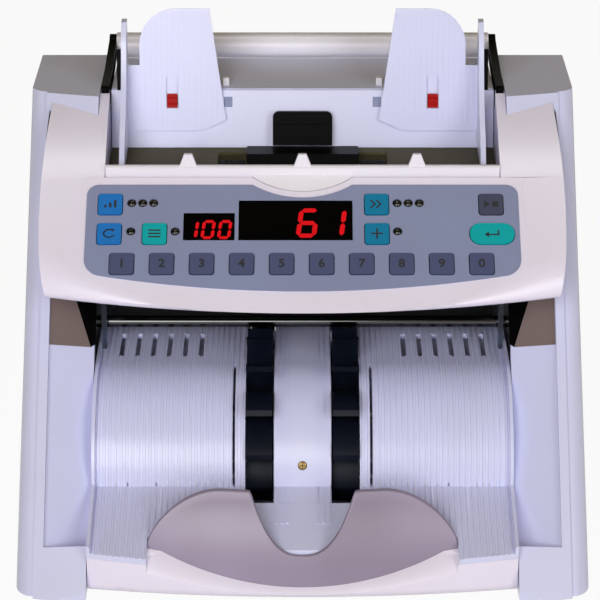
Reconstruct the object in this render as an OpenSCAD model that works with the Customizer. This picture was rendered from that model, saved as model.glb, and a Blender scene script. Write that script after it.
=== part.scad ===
// Desk-top banknote counter: hopper on top, key console at the front, ribbed stacker pocket below.
// X runs to the right, Y to the back, Z up; the table is at Z = 0.
// Every module draws with Y measured back from the toe of the side covers, and place() centres the depth.

/* [Casing] */
// Width across the side covers
body_w = 275; // [265:1:300]
// Depth from the front lip to the rear cover
body_d = 250; // [246:1:275]
// Height of the side columns above the table
column_h = 204.5; // [202:0.5:210]
// Setback of the column tops behind the toe of the side covers
column_y = 150; // [146:0.5:153]
// Length of the low stretch behind the columns, under the folded grip
hollow_len = 28; // [26:1:32]
// Height of the toe, where the leaning front of the side covers begins
toe_h = 18; // [14:1:22]
// How far the front lip stands ahead of the toe
nose = 14; // [12:1:18]
// How much each side cover draws in from foot to top
side_draw = 1.2; // [0:0.1:3]
// Radius of the outer front corner of the side covers
corner_r = 9; // [4:0.5:12]
// Plan radius of the bowed front
front_bow_r = 680; // [500:10:1200]
// Clear width between the side covers at the stacker pocket
throat_w = 206; // [200:1:210]
// Clear width between the cowls at the hopper
hopper_w = 194; // [190:1:196]
// Wall thickness of the mouldings
wall = 2.6; // [2:0.1:3.2]
// Thickness of the base pan
pan_t = 3; // [2:0.5:4]
// Height of the rubber feet
foot_h = 6; // [4:0.5:8]
// Radius of the rubber feet
foot_r = 9; // [6:0.5:12]
// Depth of the dished recess in the lower cheeks
dish_d = 13; // [6:0.5:16]
// Depth of the hollow under the folded handle
hollow_d = 26; // [22:0.5:30]
// Radius of the upper rear corner
rear_r = 30; // [10:1:40]
// Clearance between pieces that are fitted together
fit = 0.2; // [0.1:0.05:0.4]
// Clearance around pieces that move
gap = 0.4; // [0.3:0.05:0.6]

/* [Console] */
// Slope of the key panel from the horizontal
panel_slope = 37; // [34:0.5:39]
// Width of the raised key panel
panel_w = 215; // [213:1:222]
// Setback of the panel's top edge behind the toe
panel_y = 101; // [100:0.5:102]
// Drop from the column tops to the panel's top edge
panel_drop = 27.5; // [26:0.5:29]
// Drop from the column tops to the console's underside
console_drop = 73.5; // [72:0.5:76]
// Setback of the console's nose behind the toe
console_y = 38; // [36:0.5:41]
// Plan radius of the console's bowed nose
console_bow_r = 415; // [380:5:600]
// Radius of the cowl where it bends back to the column
cowl_r = 250; // [220:5:300]
// How far the panel's top edge stands proud of the cowl
panel_rise = 0.8; // [0.5:0.1:1.5]
// Radius of the curved seam between cowl and column
seam_r = 172; // [160:1:220]
// Greatest width across the two seams
seam_w = 256; // [252:1:258]
// Height at which the seams lie furthest apart
seam_z = 170; // [160:1:180]
// Thickness of the printed key overlay
overlay_t = 0.6; // [0.4:0.1:0.8]
// Side of a square key
key_s = 11.6; // [10:0.1:12]
// Pitch of the number keys
key_pitch = 19.2; // [17:0.1:19.5]
// How far a key stands above the overlay
key_rise = 0.6; // [0.6:0.05:1]
// Travel of a key
key_travel = 0.8; // [0.4:0.1:1]
// Radius of an indicator lamp
lamp_r = 2.1; // [1.5:0.1:2.4]

/* [Hopper] */
// Setback of the hopper lip's front face
lip_y = 103; // [102.6:0.1:104.5]
// Drop from the column tops to the hopper lip's top edge
lip_drop = 22.5; // [21:0.5:23]
// Height of the teeth on the hopper lip
tooth_h = 6; // [3:0.5:8]
// Drop from the column tops to the hopper floor's front edge
floor_drop = 33.5; // [32.5:0.5:36]
// Setback of the back plate's foot
back_y = 148.4; // [147:0.2:150]
// Drop from the column tops to the back plate's foot
back_drop = 29.5; // [28:0.5:30.5]
// Lean of the back plate and the guides from the vertical
hopper_lean = 14; // [10:0.5:16]
// Drop from the column tops to the top shelf
shelf_drop = 1.3; // [0.5:0.1:2.5]
// Height of the guides along their plates
guide_h = 61.3; // [54:0.1:64]
// Thickness of a guide plate
guide_t = 2.2; // [2:0.1:2.6]
// Travel of each guide towards the middle
guide_travel = 20; // [10:1:21]
// Travel of a guide lock
lock_travel = 8; // [4:0.5:9]
// Radius of the handle's grip bar
grip_r = 6.7; // [5:0.1:7.5]
// Angle of the folded handle above the horizontal
handle_rest = 7; // [5:0.5:9]

/* [Stacker] */
// Radius of the hump that the notes land on
hump_r = 50; // [46:0.5:51]
// Setback of the hump's centre
hump_y = 85; // [83:0.5:88]
// Height of the hump's centre
hump_z = 34; // [32:0.5:36]
// Pitch of the fine ribs
rib_pitch = 2.8; // [2.4:0.1:4]
// Height of the fine ribs
rib_h = 0.5; // [0.3:0.1:0.7]
// Thickness of the tray's plates
tray_t = 2.4; // [2:0.1:3]
// Slope of the apron in front of the hump
apron_slope = 18; // [15:0.5:20]
// Radius of the paddle wheels
wheel_r = 43; // [38:0.5:43.5]
// Width of a paddle wheel
wheel_w = 12.8; // [10:0.1:13]
// Distance of each paddle wheel from the middle
wheel_x = 21.2; // [20.5:0.1:22]
// Paddles on each wheel
paddles = 12; // [8:1:14]
// Height of the front stop's horns
stop_h = 53.5; // [46:0.5:56]
// Half width of the front stop
stop_x = 74; // [66:1:80]

/* [Drive] */
// Radius of the feed, exit and stacker shafts
shaft_r = 3; // [2.5:0.1:3.1]
// Radius of the feed rollers
roller_r = 10.6; // [10:0.1:11]
// Running clearance of a shaft in its bore
bore_fit = 0.05; // [0.03:0.01:0.08]
// Thickness of the steel side frames
frame_t = 2; // [1.5:0.1:2.4]
// Working radius of the motor pulley
motor_pulley_r = 10; // [8:0.5:12]
// Working radius of the stacker pulley
stacker_pulley_r = 19; // [14:0.5:19.5]
// Working radius of the feed belt's pulleys
feed_pulley_r = 5.5; // [5:0.1:6]
// Thickness of the belts
belt_t = 1.5; // [1:0.1:1.6]

/* [Hidden] */
$fn = 72;
front = nose - body_d / 2;
rear_y = body_d - nose;
half_w = body_w / 2;
throat = throat_w / 2;
hopper = hopper_w / 2;
pan_z = foot_h;
floor_top = pan_z + pan_t;
lean = atan2(column_y, column_h - toe_h);
column_end = rear_y - hollow_len;
panel_z = column_h - panel_drop;
console_z = column_h - console_drop;
lip_z = column_h - lip_drop;
floor_z = column_h - floor_drop;
back_z = column_h - back_drop;
shelf_z = column_h - shelf_drop;
ledge_z = column_h - 10.5;
cover_bow = half_w * half_w / (2 * front_bow_r);
seam_gap = 0.9;
seam_d = 1.6;
rear_z = shelf_z - hollow_d;
crease = 21;
dish_low = 6;
far = 400;

// Rear sockets, as (sideways place, height) and (width, height)
inlet_at = [-62, 38];
inlet_size = [28, 21];
inlet_d = 24;
inlet_r = 3;
switch_at = [-22, 38];
switch_size = [13, 19.5];
rocker_set = 3;
rocker_tilt = 8;
rocker_pin_r = 1.2;

// Console
cowl_start = 8;
cowl_foot = [console_y + cowl_start, panel_z - (panel_y - console_y - cowl_start) * tan(panel_slope)];
cowl_slope = atan2(panel_z - panel_rise - cowl_foot.y, panel_y - cowl_foot.x);
cowl_flat = 3;
cowl_bend = [panel_y - cowl_flat, panel_z - panel_rise - cowl_flat * tan(cowl_slope)];
cowl_centre = cowl_bend + cowl_r * [sin(cowl_slope), -cos(cowl_slope)];
board_drop = wall + key_travel + 1.9;
board_t = 1.6;
panel_cut = 20;
key_foot = board_drop - key_travel - 0.3;
board_size = [panel_w - 5, 50];
board_low = 60;
board_posts = [20, 39.5];
dip_half = 24.5;
dip_deep = 8.2;
dip_r = (dip_half * dip_half + dip_deep * dip_deep) / (2 * dip_deep);

// Each key: node name, sideways place, distance down the panel, width, colour
number_row = 49.2;
number_shift = -0.4;
number_keys = [for (i = [0:9])
    [str("key_", (i + 1) % 10), (i - 4.5) * key_pitch + number_shift, number_row, key_s, "dimgray"]
];
function_keys = [
    ["key_level", -93.4, 15.9, key_s, "steelblue"],
    ["key_auto", -93.4, 32.5, key_s, "steelblue"],
    ["key_batch", -71.5, 32.5, key_s, "lightseagreen"],
    ["key_speed", 36, 15.9, key_s, "teal"],
    ["key_add", 36, 32.5, key_s, "teal"],
    ["key_start_stop", 91.6, 15.9, key_s, "dimgray"],
    ["key_reset", 91.6, 32.5, key_s + 9.9, "lightseagreen"]
];
KEYS = concat(number_keys, function_keys);
lamps = [for (x = [-83, -77.7, -72.4, 46, 51.4, 56.8]) [x, 15], for (x = [-83, -61.5, 46]) [x, 31]];
count_window = [[-30.8, 13.7], [24.1, 35.8]];
batch_window = [[-57.5, 20.8], [-33, 35.8]];

// Hopper
shelf_end = column_end - 4;
back_len = (shelf_z - back_z) / cos(hopper_lean);
floor_t = 1.8;
guide_foot = 8.9;
guide_lift = gap + guide_t;
guide_x = [38.6, 50.5, 88];
guide_bevel = 5.5;
guide_wall = [88, 90.6];
guide_step = 33;
guide_round = 18;
lock_size = [5.2, 7];
lock_x = 65.7;
lock_s = 11.6;
rail_at = [170, floor_z - 3];
rail_r = 3;
lug_x = [66, 74];
lug_z = [back_z + 12, back_z + 17];
handle_at = [column_y + 6.5, column_h - 4.5];
handle_len = (column_end + grip_r + 1.3 - handle_at.x) / cos(handle_rest);
pin_r = 3;
arm_x = [hopper + 0.6, throat - 1.6];
arm_half = 5.3;
grip_at = handle_at + handle_len * [cos(handle_rest), sin(handle_rest)];

// Stacker
hump_top = hump_z + hump_r;
hump_back = hump_y + 44;
hump_turn = 82;
hump_lap = 2;
apron_at = [hump_y - hump_r * sin(hump_turn), hump_z + hump_r * cos(hump_turn)];
apron_len = (apron_at.x + nose) / cos(apron_slope) + 4;
slot_x = [wheel_x - wheel_w / 2 - gap, wheel_x + wheel_w / 2 + gap];
apron_lap = 1.5;
slot_run = (apron_at.x - 25) / cos(apron_slope);
rib_run = (apron_at.x - 12) / cos(apron_slope);
flange = [1.6, 3.5];
tray_half = throat - gap;
plate_half = slot_x[0] - gap;
smooth_half = 6.2;
wheel_at = [hump_y - 5, hump_z + 24];
stop_axis = 330;
stop_arc = [268, 6, 73];
stop_t = 3;
notch_z = 28;
horn_x = [10, 28, 38];
foot_low = 12;
foot_rise = 17.5;
lip_r = 5;

// Drive
frame_x = throat + 1.4;
exit_at = [112, hump_top + 10.7];
feed_at = [131, floor_z - 7.4];
motor_at = [rear_y - 46, 36];
motor_r = 22;
motor_shaft_r = 4;
roller_x = [29, 41.5];
separator_y = feed_at.x - 8;
belt_x = [frame_x + frame_t + 2.5, frame_x + frame_t + 8.5];
belt_gap = 0.3;
feed_run = (feed_at - wheel_at) / norm(feed_at - wheel_at);
exit_offset = cross(exit_at - wheel_at, feed_run);
exit_pulley_r = exit_offset - feed_pulley_r - belt_t - belt_gap;
frame_front = 60;
frame_step = floor_z - 19;
frame_set = (dish_d + wall + 1.5) / cos(lean);

// Placing helpers

// Moves a piece from the toe datum to the centred frame
module place() translate([0, front, 0]) children();

// Extrudes a side view, drawn as (y, z), across X from x0 to x1
module across(x0, x1)
    translate([x0, 0, 0]) rotate([90, 0, 90]) linear_extrude(x1 - x0) children();

// A rod along X at a side-view point
module rod(at, r, x0, x1)
    translate([x0, at.x, at.y]) rotate([0, 90, 0]) cylinder(r = r, h = x1 - x0);

// Stands a piece on the key panel: local Y runs up the panel and local Z out of it
module on_panel(x, t, out = 0)
    translate([0, panel_y, panel_z]) rotate([panel_slope, 0, 0]) translate([x, -t, out]) children();

// Follows the leaning front: local Z runs up the lean and local Y into the cover
module on_lean() translate([0, 0, toe_h]) rotate([-lean, 0, 0]) children();

// Stands a piece on the hopper back: local Y runs up the back plate and local Z to the front
module on_back(out = 0)
    translate([0, back_y, back_z]) rotate([90 - hopper_lean, 0, 0]) translate([0, 0, out]) children();

module both() {
    children();
    mirror([1, 0, 0]) children();
}

// A rectangle with rounded corners, centred
module rounded(w, h, r) {
    square([w - 2 * r, h], center = true);
    square([w, h - 2 * r], center = true);
    for (x = [-1, 1], y = [-1, 1]) translate([x * (w / 2 - r), y * (h / 2 - r)]) circle(r);
}

// Points along an arc from one angle to another
function arc(centre, r, from, to, n) = [for (i = [0:n]) let (q = from + (to - from) * i / n)
    centre + r * [cos(q), sin(q)]
];

// A disc bowed in plan, with its lower edge rounded
module bow_disc(r, low, edge) rotate_extrude($fn = 360) union() {
    translate([0, low + edge]) square([r, far]);
    translate([0, low]) square([r - edge, far]);
    translate([r - edge, low + edge]) circle(edge, $fn = 48);
}

// Casing

// Side view of the body behind the columns, with a rounded upper corner
module rear_outline(inset = 0) {
    low = pan_z - inset;
    back = rear_y - inset;
    top = rear_z - inset;
    translate([-nose, low]) square([back - rear_r + inset + nose, top - low]);
    translate([-nose, low]) square([back + nose, top - rear_r + inset - low]);
    translate([back - rear_r + inset, top - rear_r + inset]) circle(rear_r - inset);
}

// Side view of a cover, drawn in by a wall for its cavity
module cover_side(inset = 0) {
    low = pan_z - inset;
    rear_outline(inset);
    translate([-nose, low]) square([column_end - inset + nose, column_h - inset - low]);
}

// Section of a cover square to the leaning front: bowed front and a rounded outer corner
module cover_section(inset = 0) {
    side = half_w - inset;
    intersection() {
        translate([0, front_bow_r - cover_bow + inset]) circle(front_bow_r, $fn = 360);
        union() {
            translate([0, corner_r + inset]) square([side, far]);
            translate([0, inset - cover_bow]) square([side - corner_r, far]);
            translate([side - corner_r, corner_r + inset]) circle(corner_r);
        }
    }
}

// The space one cover fills, in its own half
module cover_space(inset = 0) {
    draw = atan2(side_draw, column_h - pan_z);
    intersection() {
        across(-1, body_w) cover_side(inset);
        on_lean() translate([0, 0, -far / 2]) linear_extrude(2 * far) cover_section(inset);
        translate([half_w - inset, far, pan_z]) rotate([0, -draw, 0])
            translate([-body_w, -2 * far, -far]) cube([body_w, 4 * far, 2 * far]);
    }
}

// Dished recess beside the stacker pocket, deepest at the inner edge
module cheek_dish() {
    length = console_z - toe_h - dish_low + 8;
    inner = throat - 1;
    on_lean() translate([0, 0, dish_low / cos(lean)]) linear_extrude(length / cos(lean))
        polygon([[throat + crease, -nose], [throat + crease, 0], [inner, dish_d], [inner, -nose]]);
}

// Inside of a cover: keeps a wall behind the dish, closed beside the pocket and open behind it
module cover_cavity() intersection() {
    cover_space(wall);
    union() {
        translate([throat + wall, -far, -1]) cube([body_w, 2 * far, far]);
        translate([throat - 1, frame_front - 10, -1]) cube([body_w, far, ledge_z - 6]);
    }
    on_lean() translate([0, 0, -far]) linear_extrude(2 * far) polygon([
        [0, dish_d + 1.3 * wall], [throat, dish_d + 1.3 * wall], [throat + crease, 1.3 * wall],
        [body_w, 1.3 * wall], [body_w, far], [0, far]
    ]);
}

// Room for the frame's upper corner and the feed belt, hidden behind the cowl
module belt_window() {
    wide = belt_x[1] + 3 - throat;
    low = console_z - 6;
    translate([throat - 1, feed_at.x - 16, frame_step - 3]) cube([wide, 88, floor_z + 5 - frame_step + 3]);
    on_lean() translate([throat - 1, wall / 2, (low - toe_h) / cos(lean)])
        cube([wide, 36, (frame_step - low + 16) / cos(lean)]);
}

module right_cover_body() {
    ledge = [hopper, column_y + fit, floor_z + 5];
    difference() {
        union() {
            difference() {
                cover_space();
                translate([-1, -far, 0]) cube([throat + 1, 2 * far, ledge_z]);
                translate([-1, -far, 0]) cube([throat, 2 * far, far]);
                cheek_dish();
            }
            translate(ledge) cube([throat - hopper + wall, shelf_end - ledge.y, ledge_z - ledge.z]);
            rod(handle_at, pin_r, arm_x[0] - 0.2, throat + wall);
        }
        cover_cavity();
        belt_window();
        seam_groove();
    }
}

// Shadow line in a column beside the cowl's curved seam
module seam_groove() intersection() {
    difference() {
        seam_side(-seam_gap);
        seam_side(0);
    }
    before_covers(seam_d);
    translate([0, -far, console_z]) cube([far, 3 * far, column_h - 7 - console_z]);
}

module right_side_cover() color("lavender") place() right_cover_body();

module left_side_cover() color("lavender") place() mirror([1, 0, 0]) right_cover_body();

// Foot line of the front stop, as a height over the sideways place
function foot_line(x) = foot_low + foot_rise * pow(min(abs(x), stop_x) / stop_x, 2);

// Rim of the front stop: a finger notch in the middle, two horns and falling shoulders
function ease(q) = let (c = min(max(q, 0), 1)) c * c * (3 - 2 * c);
function stop_rim(x) = let (
        a = abs(x),
        horn = notch_z + (stop_h - notch_z) * ease((a - horn_x[0]) / (horn_x[1] - horn_x[0])),
        fall = (stop_h - foot_low - foot_rise) * pow(max(a - horn_x[2], 0) / (stop_x - horn_x[2]), 2)
    ) max(horn - fall, foot_line(x));

// Curved wall of the front stop; grow widens it into the groove that it seats in
module stop_wall(grow = 0) {
    step = 2;
    intersection() {
        translate([0, stop_axis, 0]) rotate([0, 0, 225]) rotate_extrude(angle = 90, $fn = 180)
            intersection() {
                difference() {
                    translate([stop_arc[0], stop_arc[1]]) circle(stop_arc[2] + grow);
                    translate([stop_arc[0], stop_arc[1]]) circle(stop_arc[2] - stop_t - grow);
                }
                translate([stop_arc[0], floor_top - grow]) square([far, stop_h]);
            }
        translate([0, far / 2, 0]) rotate([90, 0, 0]) linear_extrude(far)
            polygon(concat(
                [for (x = [-stop_x:step:stop_x]) [x, stop_rim(x) + grow]],
                [[stop_x, floor_top - grow], [-stop_x, floor_top - grow]]
            ));
    }
}

module front_stop() color("lavender") place() stop_wall();

// Half-space above the underside of the apron
module above_apron()
    translate([-far, apron_at.x, apron_at.y]) rotate([90 + apron_slope, 0, 0])
        translate([0, -tray_t - fit, -far]) cube([2 * far, far, 2 * far]);

// Plan outline of the bowed front lip
module bowed_plan(half, back) intersection() {
    translate([0, front_bow_r - nose]) circle(front_bow_r, $fn = 360);
    translate([-half, -nose]) square([2 * half, back + nose]);
}

module base_pan() color("lavender") place() difference() {
    lip_depth = 30;
    lip_top = foot_low + foot_rise + 8;
    inner = throat - gap;
    wide_y = frame_front - 10 + fit;
    edge = half_w - wall - side_draw - fit;
    union() {
        translate([-inner, lip_depth - 1, pan_z]) cube([2 * inner, wide_y - lip_depth + 2, pan_t]);
        translate([-edge, wide_y, pan_z]) cube([2 * edge, rear_y - wall - fit - wide_y, pan_t]);
        intersection() {
            translate([0, front_bow_r - nose, 0]) bow_disc(front_bow_r, pan_z, lip_r);
            translate([-inner, -nose - 1, pan_z]) cube([2 * inner, lip_depth + nose + 1, far]);
            translate([0, far / 2, 0]) rotate([90, 0, 0]) linear_extrude(far) polygon(concat(
                [[throat, pan_z], [-throat, pan_z], [-throat, lip_top], [-stop_x - fit, lip_top]],
                [for (x = [-stop_x:4:stop_x]) [x, foot_line(x)]],
                [[stop_x + fit, lip_top], [throat, lip_top]]
            ));
        }
    }
    stop_wall(fit);
    above_apron();
    translate([-throat + wall, -nose + 17, floor_top]) cube([throat_w - 2 * wall, far, far]);
    for (x = [-1, 1], i = [0:5]) translate([x * 45, 70 + 18 * i, pan_z - 1]) slot_cut(30, 4, pan_t + 2);
}

// A round-ended slot along X
module slot_cut(length, width, depth) {
    translate([-length / 2, -width / 2, 0]) cube([length, width, depth]);
    for (x = [-1, 1]) translate([x * length / 2, 0, 0]) cylinder(d = width, h = depth);
}

module rubber_feet() color("dimgray") place()
    for (x = [-1, 1], y = [32, rear_y - 30])
        translate([x * (throat - 11), y, 0]) difference() {
            cylinder(r1 = foot_r - 1, r2 = foot_r, h = foot_h);
            translate([0, 0, -1]) cylinder(r = foot_r / 3, h = foot_h / 2 + 1);
        }

// Rear wall with a hollow under the folded grip
module rear_cover() color("lavender") place() {
    half = throat - gap;
    riser = shelf_end + fit;
    difference() {
        union() {
            across(-half, half) intersection() {
                difference() {
                    rear_outline();
                    rear_outline(wall);
                }
                translate([riser, floor_top + fit]) square([far, far]);
            }
            translate([-hopper + gap, riser, rear_z - wall])
                cube([hopper_w - 2 * gap, wall, shelf_z - rear_z + wall]);
        }
        for (i = [0:6]) translate([30, rear_y + 1, 70 + 9 * i]) rotate([90, 0, 0])
            slot_cut(70, 3.4, wall + 2);
        inlet_cut(fit);
        switch_cut(gap);
        rocker_pin(bore_fit);
    }
}

// Pivot pin of the rocker; grow widens it into its seat
module rocker_pin(grow) {
    reach = switch_size.x / 2 + 2 + 2 * grow;
    rod([rear_y - rocker_set, switch_at.y], rocker_pin_r + grow, switch_at.x - reach, switch_at.x + reach);
}

// Mains inlet and rocker openings in the rear wall
module inlet_cut(grow) translate([inlet_at.x, rear_y + 1, inlet_at.y]) rotate([90, 0, 0])
    linear_extrude(wall + 2) rounded(inlet_size.x + 2 * grow, inlet_size.y + 2 * grow, inlet_r);

module switch_cut(grow) translate([switch_at.x, rear_y + 1, switch_at.y]) rotate([90, 0, 0])
    linear_extrude(wall + 2) square([switch_size.x + 2 * grow, switch_size.y + 2 * grow], center = true);

module power_inlet() color("black") place() translate([inlet_at.x, rear_y, inlet_at.y]) rotate([90, 0, 0])
    difference() {
        linear_extrude(inlet_d) rounded(inlet_size.x, inlet_size.y, inlet_r);
        translate([0, 0, -1]) linear_extrude(inlet_d - 6)
            rounded(inlet_size.x - 5, inlet_size.y - 6, inlet_r);
    }

// Rocker, resting with its lower half pressed in
module power_switch() color("black") place() {
    half = switch_size.y / 2 - gap;
    across(switch_at.x - switch_size.x / 2, switch_at.x + switch_size.x / 2)
        translate([rear_y - rocker_set, switch_at.y]) rotate(-rocker_tilt) polygon([
            [-5, -half + 2], [-2, -half], [1.2, -half], [0, 0], [1.2, half], [-2, half], [-5, half - 2]
        ]);
    rocker_pin(0);
}

// Flat shelf behind the guides
module top_cover() color("lavender") place() difference() {
    start = back_y + back_len * sin(hopper_lean) + wall * cos(hopper_lean) + fit;
    translate([-hopper + gap, start, shelf_z - wall]) cube([hopper_w - 2 * gap, shelf_end - start, wall]);
    for (x = [-1, 1]) translate([x * (hopper - 6), shelf_end - 8, shelf_z - wall - 1])
        cylinder(r = 1.6, h = wall + 2);
}

// Hopper back with slots for the guide lugs
module back_plate() color("lavender") place() difference() {
    on_back() translate([-hopper + gap, 0, -wall]) cube([hopper_w - 2 * gap, back_len, wall]);
    both() translate([lug_x[0] - guide_travel - 2 * gap, back_y - 8, lug_z[0] - 2 * gap])
        cube([lug_x[1] - lug_x[0] + guide_travel + 4 * gap, 20, lug_z[1] - lug_z[0] + 4 * gap]);
}

// Black housing of the note sensor on the hopper back, stepped across its front
module note_sensor() color("black") place() on_back() difference() {
    size = [30, 17, 6];
    low = 1.6;
    step = [10.5, 1.6];
    r = 3;
    union() {
        translate([0, low + size.y / 2, 0]) linear_extrude(size.z) rounded(size.x, size.y, r);
        translate([-size.x / 2, low, 0]) cube([size.x, size.y / 2, size.z]);
    }
    translate([-size.x, low + step.x, size.z - step.y]) cube([2 * size.x, size.y, size.z]);
}

// White strip in front of the notes, with three teeth and a tongue that fills the panel's dip
module hopper_lip() color("white") place() {
    half = hopper - gap;
    teeth = [-56, 0, 56];
    tooth = [4.2, 1.9];
    tongue_top = 3.2;
    across(-half, half) polygon([
        [lip_y, floor_z - 5], [lip_y + wall, floor_z - 5], [lip_y + wall, lip_z], [lip_y + 1, lip_z],
        [lip_y, lip_z - 1]
    ]);
    for (x = teeth) translate([x, lip_y + wall, lip_z - 0.5]) rotate([90, 0, 0]) linear_extrude(wall - 0.6)
        polygon([
            [-tooth[0], 0], [tooth[0], 0], [tooth[0], 0.5], [tooth[1], tooth_h + 0.5],
            [-tooth[1], tooth_h + 0.5], [-tooth[0], 0.5]
        ]);
    on_panel(0, 0, -wall) linear_extrude(wall - panel_rise) intersection() {
        panel_dip(-2 * gap);
        translate([-dip_half, -dip_deep]) square([2 * dip_half, dip_deep + tongue_top]);
    }
}

// Hopper floor, with the chute that leads the notes down behind the rollers to the exit
module hopper_floor() color("darkolivegreen") place() difference() {
    half = hopper - gap;
    start = lip_y + wall;
    floor_end = back_y - 3 * fit;
    chute_y = floor_end - floor_t + fit;
    chute_low = [hump_back + 1, hump_top + rib_h];
    chute_bend = 16;
    block_half = roller_x[0] - 1 + fit;
    across(-half, half) polygon([
        [start, floor_z], [start, floor_z - floor_t], [chute_y, back_z - floor_t], [chute_y, frame_step],
        chute_low + [0, chute_bend], chute_low, chute_low + [floor_t, 0], chute_low + [floor_t, chute_bend],
        [floor_end, frame_step], [floor_end, back_z]
    ]);
    both() translate([roller_x[0] - 1, feed_at.x - roller_r - 1, feed_at.y - roller_r - 1])
        cube([roller_x[1] - roller_x[0] + 2, 2 * roller_r + 2, far]);
    translate([-block_half, separator_y, floor_z - 3]) cube([2 * block_half, far, far]);
}

// Black block that holds back all but one note
module separator_block() color("black") place() across(-roller_x[0] + 1, roller_x[0] - 1) {
    start = separator_y + fit;
    polygon([
        [start, floor_z - 1], [back_y - wall, floor_z - 1], [back_y - 3 * fit, back_z + 1],
        [start + 5, back_z + 4], [start, back_z]
    ]);
}

// Console

// Side view under the cowl: straight up the slope, then a bend back to the column
module cowl_side(inset) {
    intersection() {
        union() {
            translate(cowl_centre) circle(cowl_r - inset, $fn = 360);
            translate([cowl_bend.x - far, -far]) square([far + 30, 2 * far]);
        }
        translate(cowl_bend) rotate(cowl_slope) translate([-far, -far - inset]) square([2 * far, far]);
        polygon([
            [0, console_z + inset], [far, console_z + inset], [far, far], [0, far]
        ]);
    }
}

// Solid of revolution that bows the console's nose and rounds its lower edge
module console_bow(inset)
    translate([0, console_y + console_bow_r, 0]) bow_disc(console_bow_r - inset, console_z + inset, 4);

// Space in front of the side covers' bowed and leaning faces, moved back by a shift
module before_covers(shift) on_lean() translate([0, 0, -far]) linear_extrude(3 * far) difference() {
    translate([-far, -far]) square([2 * far, 2 * far]);
    translate([0, front_bow_r - cover_bow]) circle(front_bow_r - shift, $fn = 360);
}

// Curved limit of the right cowl at its seam with the column
module seam_side(inset)
    translate([seam_w / 2 - seam_r, -far, seam_z]) rotate([-90, 0, 0])
        cylinder(r = seam_r - inset, h = 3 * far, $fn = 360);

module console_space(inset, shift) {
    intersection() {
        console_bow(inset);
        seam_side(inset);
        mirror([1, 0, 0]) seam_side(inset);
        union() {
            // Raised key panel
            intersection() {
                on_panel(0, 0) translate([-panel_w / 2 + inset, -far, -far - inset])
                    cube([panel_w - 2 * inset, far, far]);
                translate([-far, -far, 0]) cube([2 * far, far + panel_y - inset, column_h]);
            }
            // Cowls beside the hopper
            difference() {
                across(-far, far) cowl_side(inset);
                translate([-hopper - inset, panel_y - inset, -far])
                    cube([hopper_w + 2 * inset, far, 2 * far]);
                translate([-far, column_y - fit, -far]) cube([2 * far, far, 2 * far]);
            }
        }
        union() {
            before_covers(shift);
            translate([-throat + 1 + fit, -far, 0]) cube([throat_w - 2 - 2 * fit, far + column_y, far]);
        }
    }
}

// Finger dip in the panel's top edge
module panel_dip(grow = 0) translate([0, dip_r - dip_deep]) circle(dip_r + grow);

module console_cuts() {
    for (k = KEYS) on_panel(k[1], k[2], -panel_cut / 2) linear_extrude(panel_cut) key_shape(k, gap);
    for (p = lamps) on_panel(p.x, p.y, -panel_cut / 2) cylinder(r = lamp_r + fit, h = panel_cut);
    for (w = [count_window, batch_window]) on_panel(w[0].x - fit, w[1].y + fit, -panel_cut / 2)
        cube([w[1].x - w[0].x + 2 * fit, w[1].y - w[0].y + 2 * fit, panel_cut]);
}

module front_console() color("whitesmoke") place() {
    difference() {
        console_space(0, -fit);
        console_space(wall, 6);
        // Open underside, and room behind for the feed shaft and the chute
        translate([-hopper + wall, console_y + 30, console_z - 5]) cube([hopper_w - 2 * wall, far, 42]);
        translate([-throat, panel_y, console_z - 5]) cube([throat_w, far, floor_z - 3 - console_z + 5]);
        on_panel(0, 0, -panel_cut / 2) linear_extrude(panel_cut) panel_dip();
        console_cuts();
    }
    // Bosses that carry the control board
    for (x = [-1, 1], t = board_posts) on_panel(x * (panel_w / 2 - 4.3), t, -board_drop)
        cylinder(r = 3, h = board_drop - wall + 0.01);
}

// Printed overlay: straight top with a dip, bowed lower edge with large rounded corners
module overlay_shape() {
    half = panel_w / 2 - 2.5;
    top = 4.5;
    low = 64;
    bow = 560;
    r = 9;
    top_r = 6;
    turn = asin((half - r) / (bow - r));
    corner = [half - r, bow - low - (bow - r) * cos(turn)];
    upper = [half - top_r, -top - top_r];
    flip = [[-1, 0], [0, 1]];
    difference() {
        polygon(concat(
            arc(upper, top_r, 90, 0, 8),
            arc(corner, r, 0, turn - 90, 12),
            arc([0, bow - low], bow, 0.96 * turn - 90, -90 - 0.96 * turn, 30),
            arc(flip * corner, r, -90 - turn, -180, 12),
            arc(flip * upper, top_r, 180, 90, 8)
        ));
        panel_dip(3.6);
        for (k = KEYS) translate([k[1], -k[2]]) key_shape(k, gap);
        for (p = lamps) translate([p.x, -p.y]) circle(lamp_r + fit);
        for (w = [count_window, batch_window]) translate([w[0].x - fit, -w[1].y - fit])
            square([w[1].x - w[0].x + 2 * fit, w[1].y - w[0].y + 2 * fit]);
    }
}

module key_overlay() color("slategray") place() on_panel(0, 0) linear_extrude(overlay_t) overlay_shape();

module display_block(w) on_panel(w[0].x, w[1].y, -board_drop)
    cube([w[1].x - w[0].x, w[1].y - w[0].y, board_drop + overlay_t]);

module count_display() color("black") place() display_block(count_window);

module batch_display() color("black") place() display_block(batch_window);

module indicator_lamps() color("black") place()
    for (p = lamps) on_panel(p.x, p.y, -board_drop) {
        dome = lamp_r * 1.25;
        cylinder(r = lamp_r, h = board_drop + overlay_t);
        translate([0, 0, board_drop + overlay_t]) intersection() {
            translate([0, 0, -sqrt(dome * dome - lamp_r * lamp_r)]) sphere(dome);
            cylinder(r = lamp_r, h = lamp_r);
        }
    }

module control_board() color("green") place() on_panel(0, 0, -board_drop - board_t) difference() {
    translate([-board_size.x / 2, -board_low, 0]) cube([board_size.x, board_size.y, board_t]);
    translate([-dip_half - 2, -dip_deep - 6, -1]) cube([2 * dip_half + 4, 20, board_t + 2]);
}

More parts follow.
